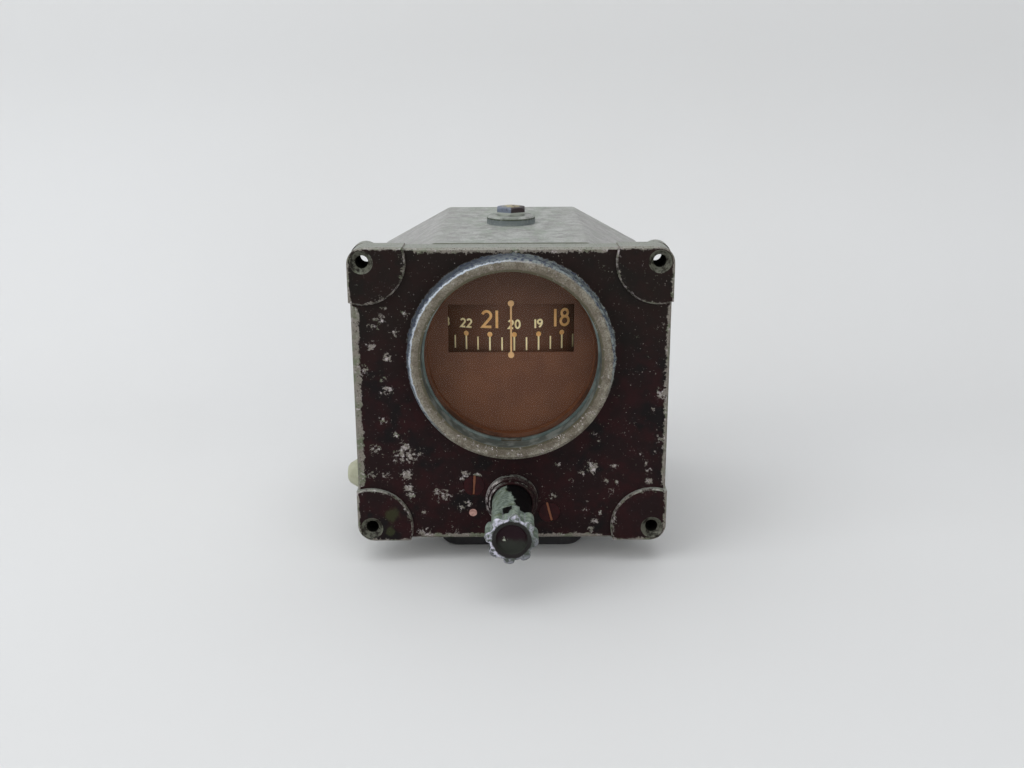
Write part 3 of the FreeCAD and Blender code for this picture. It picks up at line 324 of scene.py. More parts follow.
def makeFacePaint():
    p = facePaint
    m = startMaterial('facePaint')
    fine = noise(m, p['chipWidth'], 7.0, 0.74)
    patch = noise(m, 8.0, 2.0, 0.5)
    ragged = noise(m, 3.2, 6.0, 0.76)
    tone = noise(m, 6.0, 4.0, 0.6)
    grain = noise(m, 0.6, 3.0, 0.6)
    front = facing(m)
    field = maths(m, 'ADD', both(m, fine, 0.80), both(m, patch, 0.20))
    crowd = 0.0
    for x, z, reach, weight in p['wornSpots']:
        near = put(m, 'MapRange', {'Value': awayFrom(m, x, z), 'From Min': reach * mm, 'From Max': 0.0,
                                   'To Max': weight}, interpolation_type='SMOOTHSTEP').outputs[0]
        crowd = either(m, crowd, near)
    fromHole = fromHoles(m)
    padRim = both(m, step(m, fromHole, (p['padReach'] - 3.0) * mm, (p['padReach'] - 0.4) * mm),
                  step(m, fromHole, (p['padReach'] + 0.2) * mm, p['padReach'] * mm))
    crowd = either(m, crowd, both(m, padRim, p['padRimWeight']))
    field = maths(m, 'ADD', field, crowd)
    chips = step(m, field, p['chipLevel'] - 0.014, p['chipLevel'] + 0.018)
    flecks = step(m, noise(m, p['fleckWidth'], 2.0, 0.6), p['fleckLevel'] - 0.02, p['fleckLevel'] + 0.02)
    # steps and rims lose their paint first, but not round the two slotted screws
    turned = step(m, maths(m, 'ADD', front, wander(m, ragged, 1.1)), 0.80, 0.62)
    screwAway = 1.0
    screwReach = darkScrew['reach'] * mm
    for x, z, turn in darkScrew['at']:
        clear = step(m, awayFrom(m, x, z), screwReach, screwReach + 0.6 * mm)
        screwAway = maths(m, 'MINIMUM', screwAway, clear)
    kx, kz = places['knob']
    onBoss = step(m, awayFrom(m, kx, kz), p['bossReach'] * mm, (p['bossReach'] - 0.4) * mm)
    paintSide = step(m, axis(m, 'X'), *(x * mm for x in p['bossPaint']))
    kept = both(m, both(m, onBoss, paintSide), step(m, ragged, 0.56, 0.48))
    turned = both(m, both(m, turned, screwAway), maths(m, 'SUBTRACT', 1.0, kept))
    wx, wz = places['window']
    fromRing = maths(m, 'ADD', awayFrom(m, wx, wz), wander(m, ragged, 0.0036))
    ring = step(m, fromRing, (p['bezelReach'] + 0.3) * mm, (p['bezelReach'] - 0.3) * mm)
    bare = bareStrips(m, ragged, fine)
    for worn in (chips, flecks, turned, ring):
        bare = either(m, bare, worn)
    metal = blend(m, step(m, tone, 0.46, 0.64), p['metal'], p['green'])
    # painted light: bare metal that faces upwards is painted paler, as if lit from above
    lit = step(m, put(m, 'SeparateXYZ', {0: put(m, 'NewGeometry').outputs['Normal']}).outputs[2], 0.5, 0.9)
    pale = step(m, maths(m, 'ADD', noise(m, 1.8, 5.0, 0.7), both(m, crowd, 0.6)), 0.54, 0.70)
    # painted highlight: bare metal on the left of the boss is painted pale
    highlightSide = both(m, onBoss, step(m, axis(m, 'X'), *(x * mm for x in p['bossHighlight'])))
    metal = blend(m, either(m, pale, both(m, highlightSide, 0.7)), metal, p['metalPaleAndHighlight'])
    metal = blend(m, both(m, lit, 0.8), metal, p['litTopMetal'])
    metal = blend(m, step(m, grain, 0.54, 0.68), metal, p['metalDark'])
    metal = blend(m, ring, metal, bezelMetal(m, tone, grain))
    paint = blend(m, step(m, noise(m, 9.0, 4.0, 0.6), 0.40, 0.64), p['paint'], p['paintRed'])
    paint = blend(m, step(m, noise(m, 14.0, 3.0, 0.6), 0.50, 0.66), paint, p['paintCool'])
    high = step(m, maths(m, 'ADD', axis(m, 'Z'), wander(m, tone, 0.03)), -0.005, 0.040)
    paint = blend(m, both(m, high, 0.6), paint, p['paintOlive'])
    moss = 0.0
    for x, z, reach in p['mossSpots']:
        near = maths(m, 'ADD', awayFrom(m, x, z), wander(m, ragged, 0.006))
        moss = either(m, moss, step(m, near, reach * mm, reach * 0.5 * mm))
    paint = blend(m, both(m, moss, 0.75), paint, p['moss'])
    colour = blend(m, bare, paint, metal)
    sink = both(m, step(m, fromHole, p['sinkReach'] * mm, (p['sinkReach'] - 0.4) * mm),
                step(m, maths(m, 'ADD', front, tone), 1.42, 1.22))
    dull = blend(m, step(m, ragged, 0.44, 0.60), p['sink'], p['sinkDark'])
    colour = blend(m, both(m, sink, 0.8), colour, dull)
    # inside the ring the wall is painted the mask's brown down to the glass; like the mask's, this brown is
    # partly a painted reflection
    inner = both(m, step(m, awayFrom(m, wx, wz), p['innerReach'] * mm, (p['innerReach'] - 0.2) * mm),
                 step(m, axis(m, 'Y'), p['innerFrom'] * mm, (p['innerFrom'] + 0.5) * mm))
    colour = blend(m, inner, colour, plainFinishes['maskPaintAndReflection']['tones'][0])
    # painted shade: the bores of the corner holes are painted near black, matt and without reflection
    holeShade = both(m, step(m, fromHole, (p['holeRadius'] + 0.03) * mm, p['holeRadius'] * mm),
                step(m, front, 0.5, 0.3))
    colour = blend(m, both(m, holeShade, 0.92), colour, p['holeShade'])
    matt = either(m, inner, holeShade)
    rough = maths(m, 'ADD', spread(m, bare, 0.62, 0.50), wander(m, tone, 0.2))
    rough = either(m, rough, holeShade)
    metallic = both(m, bare, spread(m, matt, 0.35, 0.0))
    feed(m, m['shader'].inputs['Specular IOR Level'], spread(m, holeShade, 0.14, 0.0))
    normal = bump(m, grain, 0.04, 0.5, softNormal(m, 0.45))
    normal = bump(m, noise(m, 6.0, 2.0), 0.12, 0.4, normal)
    normal = bump(m, maths(m, 'SUBTRACT', 1.0, either(m, chips, flecks)), 0.08, 0.8, normal)
    return dress(m, colour, rough, metallic, normal)


# sand-cast aluminium of the case, weathered and greenish, with a painted lilac reflection towards its sides
castMetal = {
    'base': srgb(142, 142, 139), 'pale': srgb(174, 176, 172), 'green': srgb(138, 148, 134),
    'dark': srgb(98, 97, 94), 'paintedLight': srgb(168, 163, 164), 'glint': srgb(214, 217, 213),
    'flankShade': srgb(106, 114, 114), 'rim': srgb(58, 66, 52), 'paintedLightFrom': 16.0, 'paintedLightTo': 40.0,
    'grain': 0.9, 'blotch': 7.0, 'bossReach': 11.3, 'bossTop': 67.3,
}


def makeCastMetal():
    p = castMetal
    m = startMaterial('castMetal')
    blotch = noise(m, p['blotch'], 6.0, 0.68, distort=0.4)
    grain = noise(m, p['grain'], 3.0, 0.6)
    streak = noise(m, 6.0, 5.0, 0.66, (1.0, 0.5, 1.0))
    colour = blend(m, step(m, blotch, 0.36, 0.62), p['base'], p['pale'])
    colour = blend(m, both(m, step(m, streak, 0.46, 0.62), 0.6), colour, p['green'])
    # painted reflection: a lilac cast is laid on towards the sides of the case
    aside = maths(m, 'ADD', maths(m, 'ABSOLUTE', axis(m, 'X')), wander(m, streak, 0.05))
    aside = step(m, aside, p['paintedLightFrom'] * mm, p['paintedLightTo'] * mm)
    colour = blend(m, both(m, aside, 0.4), colour, p['paintedLight'])
    speckle = step(m, noise(m, 1.1, 4.0, 0.7), 0.50, 0.64)
    colour = blend(m, both(m, speckle, 0.36), colour, p['dark'])
    pits = step(m, noise(m, 1.8, 4.0, 0.7), 0.62, 0.69)
    colour = blend(m, both(m, pits, 0.6), colour, p['dark'])
    glints = step(m, noise(m, 1.4, 3.0, 0.7), 0.66, 0.73)
    colour = blend(m, both(m, glints, 0.85), colour, p['glint'])
    edge = step(m, maths(m, 'ADD', edgeWear(m, 1.0), both(m, grain, 0.10)), 0.08, 0.16)
    colour = blend(m, both(m, edge, 0.45), colour, p['pale'])
    # painted shade on the flank of the boss under the plug, with a painted shadow line just below its rim
    level = put(m, 'SeparateXYZ', {0: put(m, 'NewGeometry').outputs['Normal']}).outputs[2]
    flank = both(m, step(m, awayFromPlug(m), (p['bossReach'] + 0.4) * mm, p['bossReach'] * mm),
                 step(m, maths(m, 'ADD', level, wander(m, blotch, 0.4)), 0.75, 0.55))
    belowRim = maths(m, 'SUBTRACT', inMillimetres(m, axis(m, 'Z')), p['bossTop'] - 0.5)
    rim = step(m, maths(m, 'ABSOLUTE', belowRim), 0.9, 0.3)
    flankShade = blend(m, rim, p['flankShade'], p['rim'])
    colour = blend(m, both(m, flank, spread(m, speckle, 1.0, 0.6)), colour, flankShade)
    rough = spread(m, blotch, 0.68, 0.50)
    normal = bump(m, grain, 0.06, 0.6, softNormal(m, 2.0))
    normal = bump(m, noise(m, 11.0, 2.0), 0.25, 0.4, normal)
    normal = bump(m, maths(m, 'SUBTRACT', 1.0, pits), 0.08, 0.7, normal)
    return dress(m, colour, rough, 0.20, normal)


# the knob: black paint worn to grey-green metal on everything a hand reaches
knobFinish = {
    'metal': srgb(118, 132, 122), 'metalPaleAndHighlight': srgb(206, 204, 220), 'green': srgb(164, 178, 166),
    'moss': srgb(112, 124, 88), 'shade': srgb(62, 66, 62), 'paint': srgb(13, 12, 13),
    'ring': srgb(26, 19, 20), 'dish': srgb(34, 18, 24), 'dishLow': srgb(46, 48, 43),
    'dishMark': srgb(170, 176, 160), 'dishMarkAt': (-2.8, -0.3),
    'dishRadius': 6.5, 'ringRadius': 7.9, 'headBack': -48.9, 'front': -59.5,
    'patchBack': -24.0, 'patchFront': -49.0, 'patchBackX': -1.8, 'patchFrontX': 3.2,
    'windowX': -1.8, 'windowHalf': 1.9, 'windowBack': -45.2, 'windowFront': -53.0,
}


def makeKnobFinish():
    p = knobFinish
    m = startMaterial('knobFinish')
    x, z = places['knob']
    tone = noise(m, 3.0, 5.0, 0.62)
    patches = noise(m, 4.0, 6.0, 0.74)
    right = maths(m, 'SUBTRACT', inMillimetres(m, axis(m, 'X')), x)
    above = maths(m, 'SUBTRACT', inMillimetres(m, axis(m, 'Z')), z)
    reach = inMillimetres(m, awayFrom(m, x, z))
    depth = inMillimetres(m, axis(m, 'Y'))
    front = facing(m)
    metal = blend(m, step(m, tone, 0.38, 0.60), p['metal'], p['green'])
    metal = blend(m, both(m, step(m, patches, 0.52, 0.62), 0.7), metal, p['moss'])
    # painted shade over the lower part of the knob
    under = step(m, maths(m, 'ADD', above, wander(m, patches, 6.0)), 1.0, -2.5)
    specks = step(m, noise(m, 1.2, 4.0, 0.7), 0.52, 0.62)
    metal = blend(m, both(m, specks, 0.6), metal, p['shade'])
    metal = blend(m, both(m, under, 0.75), metal, p['shade'])
    # paint is kept on the right of the hub and in a small patch between the top lobes
    onHub = step(m, maths(m, 'ADD', depth, wander(m, patches, 4.0)), p['headBack'] - 0.4, p['headBack'] + 0.4)
    edge = put(m, 'MapRange', {'Value': depth, 'From Min': p['patchBack'], 'From Max': p['patchFront'],
                               'To Min': p['patchBackX'], 'To Max': p['patchFrontX']}).outputs[0]
    past = maths(m, 'SUBTRACT', maths(m, 'ADD', right, wander(m, patches, 9.0)), edge)
    hub = both(m, onHub, step(m, past, -0.2, 0.3))
    ragged = wander(m, patches, 3.0)
    aside = maths(m, 'ABSOLUTE', maths(m, 'ADD', maths(m, 'SUBTRACT', right, p['windowX']), ragged))
    window = step(m, aside, p['windowHalf'] + 0.2, p['windowHalf'] - 0.2)
    window = both(m, window, step(m, above, 3.0, 4.0))
    shifted = maths(m, 'ADD', depth, ragged)
    window = both(m, window, step(m, shifted, p['windowBack'] + 0.3, p['windowBack'] - 0.3))
    window = both(m, window, step(m, shifted, p['windowFront'] - 0.3, p['windowFront'] + 0.3))
    kept = either(m, hub, window)
    # rims rub bright; the fronts of the lobes carry painted shade and painted glints, the glints strongest
    # towards the upper left
    rub = maths(m, 'ADD', edgeWear(m, 1.0), wander(m, tone, 0.20))
    atFront = both(m, step(m, front, 0.45, 0.75), step(m, depth, p['headBack'], p['headBack'] - 0.4))
    lobes = both(m, atFront, step(m, maths(m, 'ADD', reach, wander(m, tone, 2.0)), 7.4, 8.2))
    glint = both(m, lobes, step(m, noise(m, 2.6, 5.0, 0.7), 0.44, 0.58))
    glint = either(m, glint, both(m, step(m, rub, 0.08, 0.16), step(m, reach, 7.2, 7.8)))
    metal = blend(m, both(m, atFront, 0.7), metal, p['shade'])
    # painted highlight: glints are painted stronger towards the upper left
    lit = step(m, maths(m, 'SUBTRACT', both(m, above, 0.8), right), -9.0, 3.0)
    metal = blend(m, both(m, glint, spread(m, lit, 0.25, 0.95)), metal, p['metalPaleAndHighlight'])
    colour = blend(m, kept, metal, p['paint'])
    rim = maths(m, 'ADD', reach, wander(m, patches, 2.4))
    nearFront = step(m, depth, p['front'] + 1.3, p['front'] + 1.0)
    onRing = both(m, nearFront, step(m, rim, p['ringRadius'] + 0.2, p['ringRadius'] - 0.2))
    colour = blend(m, both(m, onRing, spread(m, tone, 0.75, 1.0)), colour, p['ring'])
    sunk = step(m, depth, p['front'] + 0.1, p['front'] + 0.5)
    inDish = both(m, step(m, reach, p['dishRadius'] + 0.1, p['dishRadius']), sunk)
    lowDown = step(m, maths(m, 'ADD', above, wander(m, patches, 6.0)), 1.0, -3.0)
    dish = blend(m, lowDown, p['dish'], p['dishLow'])
    colour = blend(m, inDish, colour, dish)
    # a small pale mark on the left of the dish
    markX, markZ = p['dishMarkAt']
    uneven = wander(m, noise(m, 1.0, 4.0, 0.7), 0.005)
    mark = maths(m, 'ADD', awayFrom(m, x + markX, z + markZ), uneven)
    colour = blend(m, both(m, inDish, step(m, mark, 0.0008, 0.0005)), colour, p['dishMark'])
    dark = either(m, kept, either(m, onRing, inDish))
    metallic = both(m, maths(m, 'SUBTRACT', 1.0, dark), 0.3)
    normal = bump(m, noise(m, 0.9, 3.0), 0.06, 0.5, softNormal(m, 0.6))
    normal = bump(m, maths(m, 'SUBTRACT', 1.0, kept), -0.06, 0.6, normal)
    feed(m, m['shader'].inputs['Specular IOR Level'], spread(m, dark, 0.35, 0.12))
    return dress(m, colour, spread(m, tone, 0.36, 0.58), metallic, normal)


# plain finishes: two tones, blotch width, grain width, roughness range, metallic, bump depth
plainFinishes = {
    # the mask's brown is partly its own paint and partly a painted reflection, the brown the glass shows over
    # it
    'maskPaintAndReflection': {'tones': (srgb(104, 62, 37), srgb(94, 56, 35)), 'blotch': 14, 'grain': 0.5,
                  'rough': (0.66, 0.78), 'metallic': 0.0, 'depth': 0.006, 'speck': srgb(94, 66, 48)},
    'cardPaint': {'tones': (srgb(88, 50, 27), srgb(80, 46, 26)), 'blotch': 12, 'grain': 0.5,
                  'rough': (0.62, 0.74), 'metallic': 0.0, 'depth': 0.02, 'speck': srgb(74, 50, 34)},
    'springSteel': {'tones': (srgb(98, 112, 110), srgb(132, 144, 140)), 'blotch': 7, 'grain': 0.6,
                    'rough': (0.30, 0.48), 'metallic': 0.3, 'depth': 0.03, 'speck': srgb(60, 62, 58)},
    'blackRubber': {'tones': (srgb(30, 29, 28), srgb(42, 40, 38)), 'blotch': 9, 'grain': 0.4,
                    'rough': (0.72, 0.9), 'metallic': 0.0, 'depth': 0.04, 'speck': srgb(62, 60, 56)},
    'groundSteel': {'tones': (srgb(158, 158, 156), srgb(186, 186, 184)), 'blotch': 6, 'grain': 0.3,
                    'rough': (0.26, 0.40), 'metallic': 0.9, 'depth': 0.01, 'speck': srgb(104, 92, 78)},
    'turnedBrass': {'tones': (srgb(176, 142, 82), srgb(204, 172, 108)), 'blotch': 6, 'grain': 0.3,
                    'rough': (0.28, 0.44), 'metallic': 0.9, 'depth': 0.01, 'speck': srgb(104, 80, 46)},
    'gasketPaper': {'tones': (srgb(120, 124, 112), srgb(136, 138, 128)), 'blotch': 8, 'grain': 0.5,
                    'rough': (0.8, 0.9), 'metallic': 0.0, 'depth': 0.02, 'speck': srgb(96, 98, 88)},
    'glandMetal': {'tones': (srgb(54, 56, 48), srgb(92, 88, 74)), 'blotch': 3, 'grain': 0.5,
                   'rough': (0.42, 0.6), 'metallic': 0.3, 'depth': 0.03, 'speck': srgb(150, 142, 124)},
    # the seat under the glass takes the mask's brown, partly a painted reflection
    'seatRubber': {'tones': (srgb(104, 64, 42), srgb(92, 58, 40)), 'blotch': 8, 'grain': 0.4,
                   'rough': (0.7, 0.86), 'metallic': 0.0, 'depth': 0.02, 'speck': srgb(66, 50, 40)},
    'pinCopper': {'tones': (srgb(206, 164, 152), srgb(164, 124, 116)), 'blotch': 1.3, 'grain': 0.25,
                  'rough': (0.34, 0.5), 'metallic': 0.7, 'depth': 0.01, 'speck': srgb(96, 60, 58)},
    'ringMetal': {'tones': (srgb(168, 170, 168), srgb(192, 194, 192)), 'blotch': 9, 'grain': 0.4,
                  'rough': (0.34, 0.50), 'metallic': 0.8, 'depth': 0.02, 'speck': srgb(126, 124, 118)},
    'rotorBrass': {'tones': (srgb(164, 140, 92), srgb(190, 166, 116)), 'blotch': 8, 'grain': 0.3,
                   'rough': (0.24, 0.38), 'metallic': 0.9, 'depth': 0.01, 'speck': srgb(110, 88, 52)},
    'capPlastic': {'tones': (srgb(176, 176, 152), srgb(160, 160, 136)), 'blotch': 5, 'grain': 0.7,
                   'rough': (0.44, 0.6), 'metallic': 0.0, 'depth': 0.03, 'speck': srgb(128, 128, 104)},
    'coverPaint': {'tones': (srgb(22, 21, 23), srgb(34, 32, 34)), 'blotch': 10, 'grain': 0.8,
                   'rough': (0.38, 0.54), 'metallic': 0.0, 'depth': 0.05, 'speck': srgb(74, 72, 70)},
    'filterFelt': {'tones': (srgb(158, 150, 128), srgb(128, 120, 100)), 'blotch': 4, 'grain': 0.5,
                   'rough': (0.9, 1.0), 'metallic': 0.0, 'depth': 0.3, 'speck': srgb(184, 178, 160)},
    'paleFigures': {'tones': (srgb(222, 178, 124), srgb(206, 160, 108)), 'blotch': 3, 'grain': 0.4,
                    'rough': (0.6, 0.72), 'metallic': 0.0, 'depth': 0.01, 'speck': srgb(170, 122, 66)},
    'tanFigures': {'tones': (srgb(232, 184, 118), srgb(214, 160, 92)), 'blotch': 3, 'grain': 0.4,
                   'rough': (0.6, 0.72), 'metallic': 0.0, 'depth': 0.01, 'speck': srgb(140, 94, 46)},
    'creamFigures': {'tones': (srgb(248, 234, 184), srgb(232, 214, 158)), 'blotch': 3, 'grain': 0.4,
                     'rough': (0.6, 0.72), 'metallic': 0.0, 'depth': 0.01, 'speck': srgb(176, 148, 92)},
}


def makePlainFinish(name):
    p = plainFinishes[name]
    m = startMaterial(name)
    blotch = noise(m, p['blotch'], 4.0, 0.6)
    grain = noise(m, p['grain'], 3.0, 0.6)
    colour = blend(m, step(m, blotch, 0.36, 0.64), *p['tones'])
    colour = blend(m, both(m, step(m, grain, 0.60, 0.72), 0.55), colour, p['speck'])
    rough = spread(m, blotch, *p['rough'])
    return dress(m, colour, rough, p['metallic'], bump(m, grain, p['depth'], 0.6))


# the mask behind the glass: brown that is partly a painted reflection, with painted shade darker towards its
# top
maskShade = {'low': 0.0, 'high': 0.052, 'amount': 0.55, 'tone': srgb(62, 38, 26)}


def makeMaskFinish():
    p = maskShade
    m = startMaterial('maskFinish')
    base = plainFinishes['maskPaintAndReflection']
    blotch = noise(m, base['blotch'], 4.0, 0.6)
    grain = noise(m, base['grain'], 3.0, 0.6)
    colour = blend(m, step(m, blotch, 0.36, 0.64), *base['tones'])
    colour = blend(m, both(m, step(m, grain, 0.60, 0.72), 0.55), colour, base['speck'])
    high = step(m, axis(m, 'Z'), p['low'], p['high'])
    colour = blend(m, both(m, high, p['amount']), colour, p['tone'])
    return dress(m, colour, spread(m, blotch, *base['rough']), 0.0, bump(m, grain, base['depth'], 0.6))


def makeDarkScrew():
    p = darkScrew
    m = startMaterial('darkScrew')
    tone = noise(m, 2.5, 4.0, 0.6)
    colour = blend(m, step(m, tone, 0.38, 0.62), p['head'], p['headWarm'])
    line = 0.0
    reach = p['reach'] * mm
    half = p['slotHalf'] * mm
    for x, z, turn in p['at']:
        near = step(m, awayFrom(m, x, z), reach, reach - 0.4 * mm)
        along = (math.cos(math.radians(turn)), 0, math.sin(math.radians(turn)))
        shifted = put(m, 'VectorMath', {0: place(m), 1: (x * mm, 0, z * mm)}, operation='SUBTRACT').outputs[0]
        across = put(m, 'VectorMath', {0: shifted, 1: along}, operation='DOT_PRODUCT').outputs['Value']
        across = maths(m, 'ADD', maths(m, 'ABSOLUTE', across), wander(m, tone, 0.0006))
        thin = step(m, across, half, half - 0.15 * mm)
        line = either(m, line, both(m, near, thin))
    inSlot = step(m, axis(m, 'Y'), p['slotY'] * mm, (p['slotY'] + 0.35) * mm)
    colour = blend(m, both(m, inSlot, line), colour, p['slot'])
    normal = bump(m, tone, 0.05, 0.5, softNormal(m, 0.3))
    return dress(m, colour, spread(m, tone, 0.44, 0.6), 0.0, normal, 0.14)


# the hexagon plug: flanks painted lit and bluish on the left and in dark painted shade on the right, brass
# showing on its domed top
plugMetal = {'flank': srgb(112, 120, 134), 'flankBrownAndShade': srgb(52, 42, 44), 'crown': srgb(178, 166, 132),
             'washer': srgb(168, 172, 164), 'crownZ': 71.8, 'washerZ': 69.3}


def makePlugMetal():
    p = plugMetal
    m = startMaterial('plugMetal')
    tone = noise(m, 2.2, 5.0, 0.66)
    # painted light and shade: the left half of the flanks is lit, the right half shaded
    right = step(m, maths(m, 'ADD', axis(m, 'X'), wander(m, tone, 0.003)), -0.0004, 0.0004)
    colour = blend(m, right, p['flank'], p['flankBrownAndShade'])
    colour = blend(m, both(m, step(m, tone, 0.58, 0.66), 0.5), colour, p['flankBrownAndShade'])
    onTop = step(m, axis(m, 'Z'), (p['crownZ'] - 0.25) * mm, p['crownZ'] * mm)
    worn = both(m, onTop, step(m, tone, 0.30, 0.55))
    colour = blend(m, worn, colour, p['crown'])
    washer = step(m, axis(m, 'Z'), (p['washerZ'] + 0.1) * mm, p['washerZ'] * mm)
    colour = blend(m, washer, colour, p['washer'])
    normal = bump(m, noise(m, 0.8), 0.05, 0.5, softNormal(m, 0.4))
    return dress(m, colour, spread(m, tone, 0.42, 0.6), 0.3, normal)


# flat glass: a faint film that takes reflections and lets the card show
windowGlass = {'film': srgb(150, 138, 120), 'filmDark': srgb(120, 108, 92), 'cover': 0.02}


def makeWindowGlass():
    p = windowGlass
    m = startMaterial('windowGlass')
    smear = noise(m, 18.0, 4.0, 0.6, (1.0, 1.0, 0.5))
    colour = blend(m, step(m, smear, 0.4, 0.6), p['film'], p['filmDark'])
    dress(m, colour, spread(m, smear, 0.05, 0.16), 1.0)
    m['shader'].inputs['Alpha'].default_value = p['cover']
    return m['material']


finishes = {
    'frame_paint': makeFacePaint(),
    'case_metal': makeCastMetal(),
    'glass': makeWindowGlass(),
    'spring_steel': makePlainFinish('springSteel'),
    'gasket_rubber': makePlainFinish('blackRubber'),
    'mask_paint': makeMaskFinish(),
    'lubber_paint': makePlainFinish('paleFigures'),
    'card_paint': makePlainFinish('cardPaint'),
    'steel': makePlainFinish('groundSteel'),
    'dark_screw': makeDarkScrew(),
    'brass': makePlainFinish('turnedBrass'),
    'pin_copper': makePlainFinish('pinCopper'),
    'plug_metal': makePlugMetal(),
    'cap_plastic': makePlainFinish('capPlastic'),
    'cover_paint': makePlainFinish('coverPaint'),
    'filter_felt': makePlainFinish('filterFelt'),
    'ring_metal': makePlainFinish('ringMetal'),
    'rotor_metal': makePlainFinish('rotorBrass'),
    'knob_paint': makeKnobFinish(),
}
# gaskets of oiled paper, the brown seat under the glass (its brown, like the mask's, partly a painted
# reflection), the dark olive gland and the bush under the plug differ from their slots' finish
ownFinishes = {
    'frame_gasket': makePlainFinish('gasketPaper'),
    'rear_cover_gasket': makePlainFinish('gasketPaper'),
    'glass_gasket': makePlainFinish('seatRubber'),
    'knob_bushing': makePlainFinish('glandMetal'),
    'upper_bearing_bush': finishes['case_metal'],
}
for subpart in frame['record']['subparts']:
    mesh = frame['nodes'][subpart['node']].data
    mesh.materials.clear()
    mesh.materials.append(ownFinishes.get(subpart['node'], finishes[subpart['material_slot']]))


def addPiece(name, mesh, material, body):
    piece = bpy.data.objects.new(name, mesh)
    bpy.context.scene.collection.objects.link(piece)
    mesh.materials.append(material)
    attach(piece, body)
    return piece


# strokes of the figures in a box one unit high; 'to' is a corner, 'arc' a run of an ellipse
digitStrokes = {
    '0': [[('arc', .30, .50, .24, .44, 90, 450)]],
    '1': [[('to', .07, .0), ('to', .07, 1.0)]],
    '2': [[('arc', .30, .70, .24, .24, 165, -38), ('to', .07, .06), ('to', .56, .06)]],
    '3': [[('arc', .27, .73, .21, .21, 150, -90), ('arc', .27, .29, .24, .23, 90, -150)]],
    '4': [[('to', .44, .0), ('to', .44, .94), ('to', .05, .30), ('to', .60, .30)]],
    '5': [[('to', .52, .94), ('to', .14, .94), ('to', .10, .52), ('arc', .29, .31, .24, .25, 125, -150)]],
    '6': [[('arc', .30, .29, .24, .23, 0, 360)], [('arc', .62, .30, .56, .66, 115, 180)]],
    '7': [[('to', .04, .94), ('to', .55, .94), ('to', .20, .0)]],
    '8': [[('arc', .30, .74, .19, .20, 0, 360)], [('arc', .30, .29, .24, .25, 0, 360)]],
    '9': [[('arc', .30, .71, .24, .23, 0, 360)], [('arc', -.02, .70, .56, .66, -65, 0)]],
}
digitWidths = {'1': 0.14}
cardFigures = {
    'heading': 201.3,           # reading under the lubber line
    'lift': 0.10,               # paint above the drum
    'large': {'height': 7.6, 'stroke': 1.15, 'foot': 27.6, 'gap': 0.20},
    'small': {'height': 3.8, 'stroke': 0.80, 'foot': 27.4, 'gap': 0.15},
    'tens': {'width': 0.72, 'low': 17.8, 'high': 24.1},
    'fives': {'width': 0.66, 'low': 17.9, 'high': 23.6},
    'dot': {'radius': 1.1, 'at': 24.8},
}


def strokePoints(stroke):
    points = []
    for part in stroke:
        if part[0] == 'to':
            points.append((part[1], part[2]))
            continue
        kind, cx, cy, rx, ry, start, end = part
        count = max(4, int(abs(end - start) / 15))
        for k in range(count + 1):
            turn = math.radians(start + (end - start) * k / count)
            points.append((cx + rx * math.cos(turn), cy + ry * math.sin(turn)))
    return points


def onDrum(across, z):
    # a point laid on the drum, 'across' millimetres to the right of the lubber line
    radius = places['cardRadius'] + cardFigures['lift']
    turn = across / places['cardRadius']
    return Vector((radius * math.sin(turn), places['gyro'][0] - radius * math.cos(turn), z)) * mm


def addRibbon(bm, points, width):
    # a flat band along a line of points, laid on the drum
    rows = []
    closed = math.dist(points[0], points[-1]) < 1e-6
    for k, (x, z) in enumerate(points):
        before = points[-2] if closed and k == 0 else points[max(k - 1, 0)]
        after = points[1] if closed and k == len(points) - 1 else points[min(k + 1, len(points) - 1)]
        one = Vector((x - before[0], z - before[1])).normalized()
        two = Vector((after[0] - x, after[1] - z)).normalized()
        along = (one + two).normalized()
        side = Vector((-along.y, along.x))
        lean = one if one.length > 0 else two
        reach = width / 2 / max(0.45, abs(side.dot(Vector((-lean.y, lean.x)))))
        rows.append([bm.verts.new(onDrum(x + side.x * s, z + side.y * s)) for s in (reach, -reach)])
    for one, two in zip(rows, rows[1:]):
        bm.faces.new((one[0], one[1], two[1], two[0]))


def addNumber(bm, text, across, style):
    high = style['height']
    widths = [digitWidths.get(digit, 0.6) for digit in text]
    x = across - (sum(widths) + style['gap'] * (len(text) - 1)) * high / 2
    for digit, width in zip(text, widths):
        for stroke in digitStrokes[digit]:
            addRibbon(bm, [(x + px * high, style['foot'] + pz * high) for px, pz in strokePoints(stroke)],
                      style['stroke'])
        x += (width + style['gap']) * high


def addDot(bm, across, z, radius):
    centre = bm.verts.new(onDrum(across, z))
    rim = []
    for k in range(18):
        turn = 2 * math.pi * k / 18
        rim.append(bm.verts.new(onDrum(across + radius * math.cos(turn), z + radius * math.sin(turn))))
    for k in range(18):
        bm.faces.new((centre, rim[k], rim[(k + 1) % 18]))


def figureMesh(name, draw):
    bm = bmesh.new()
    draw(bm)
    bmesh.ops.recalc_face_normals(bm, faces=bm.faces)
    mesh = bpy.data.meshes.new(name)
    bm.to_mesh(mesh)
    bm.free()
    return mesh


def placeOf(heading):
    # wrapped to the half turn either side of the lubber line
    turn = (cardFigures['heading'] - heading + 180) % 360 - 180
    return math.radians(turn) * places['cardRadius']


def drawTan(bm):
    for ten in range(0, 36):
        across = placeOf(ten * 10)
        addDot(bm, across, cardFigures['dot']['at'], cardFigures['dot']['radius'])
        if ten % 3 == 0:
            addNumber(bm, str(ten), across, cardFigures['large'])


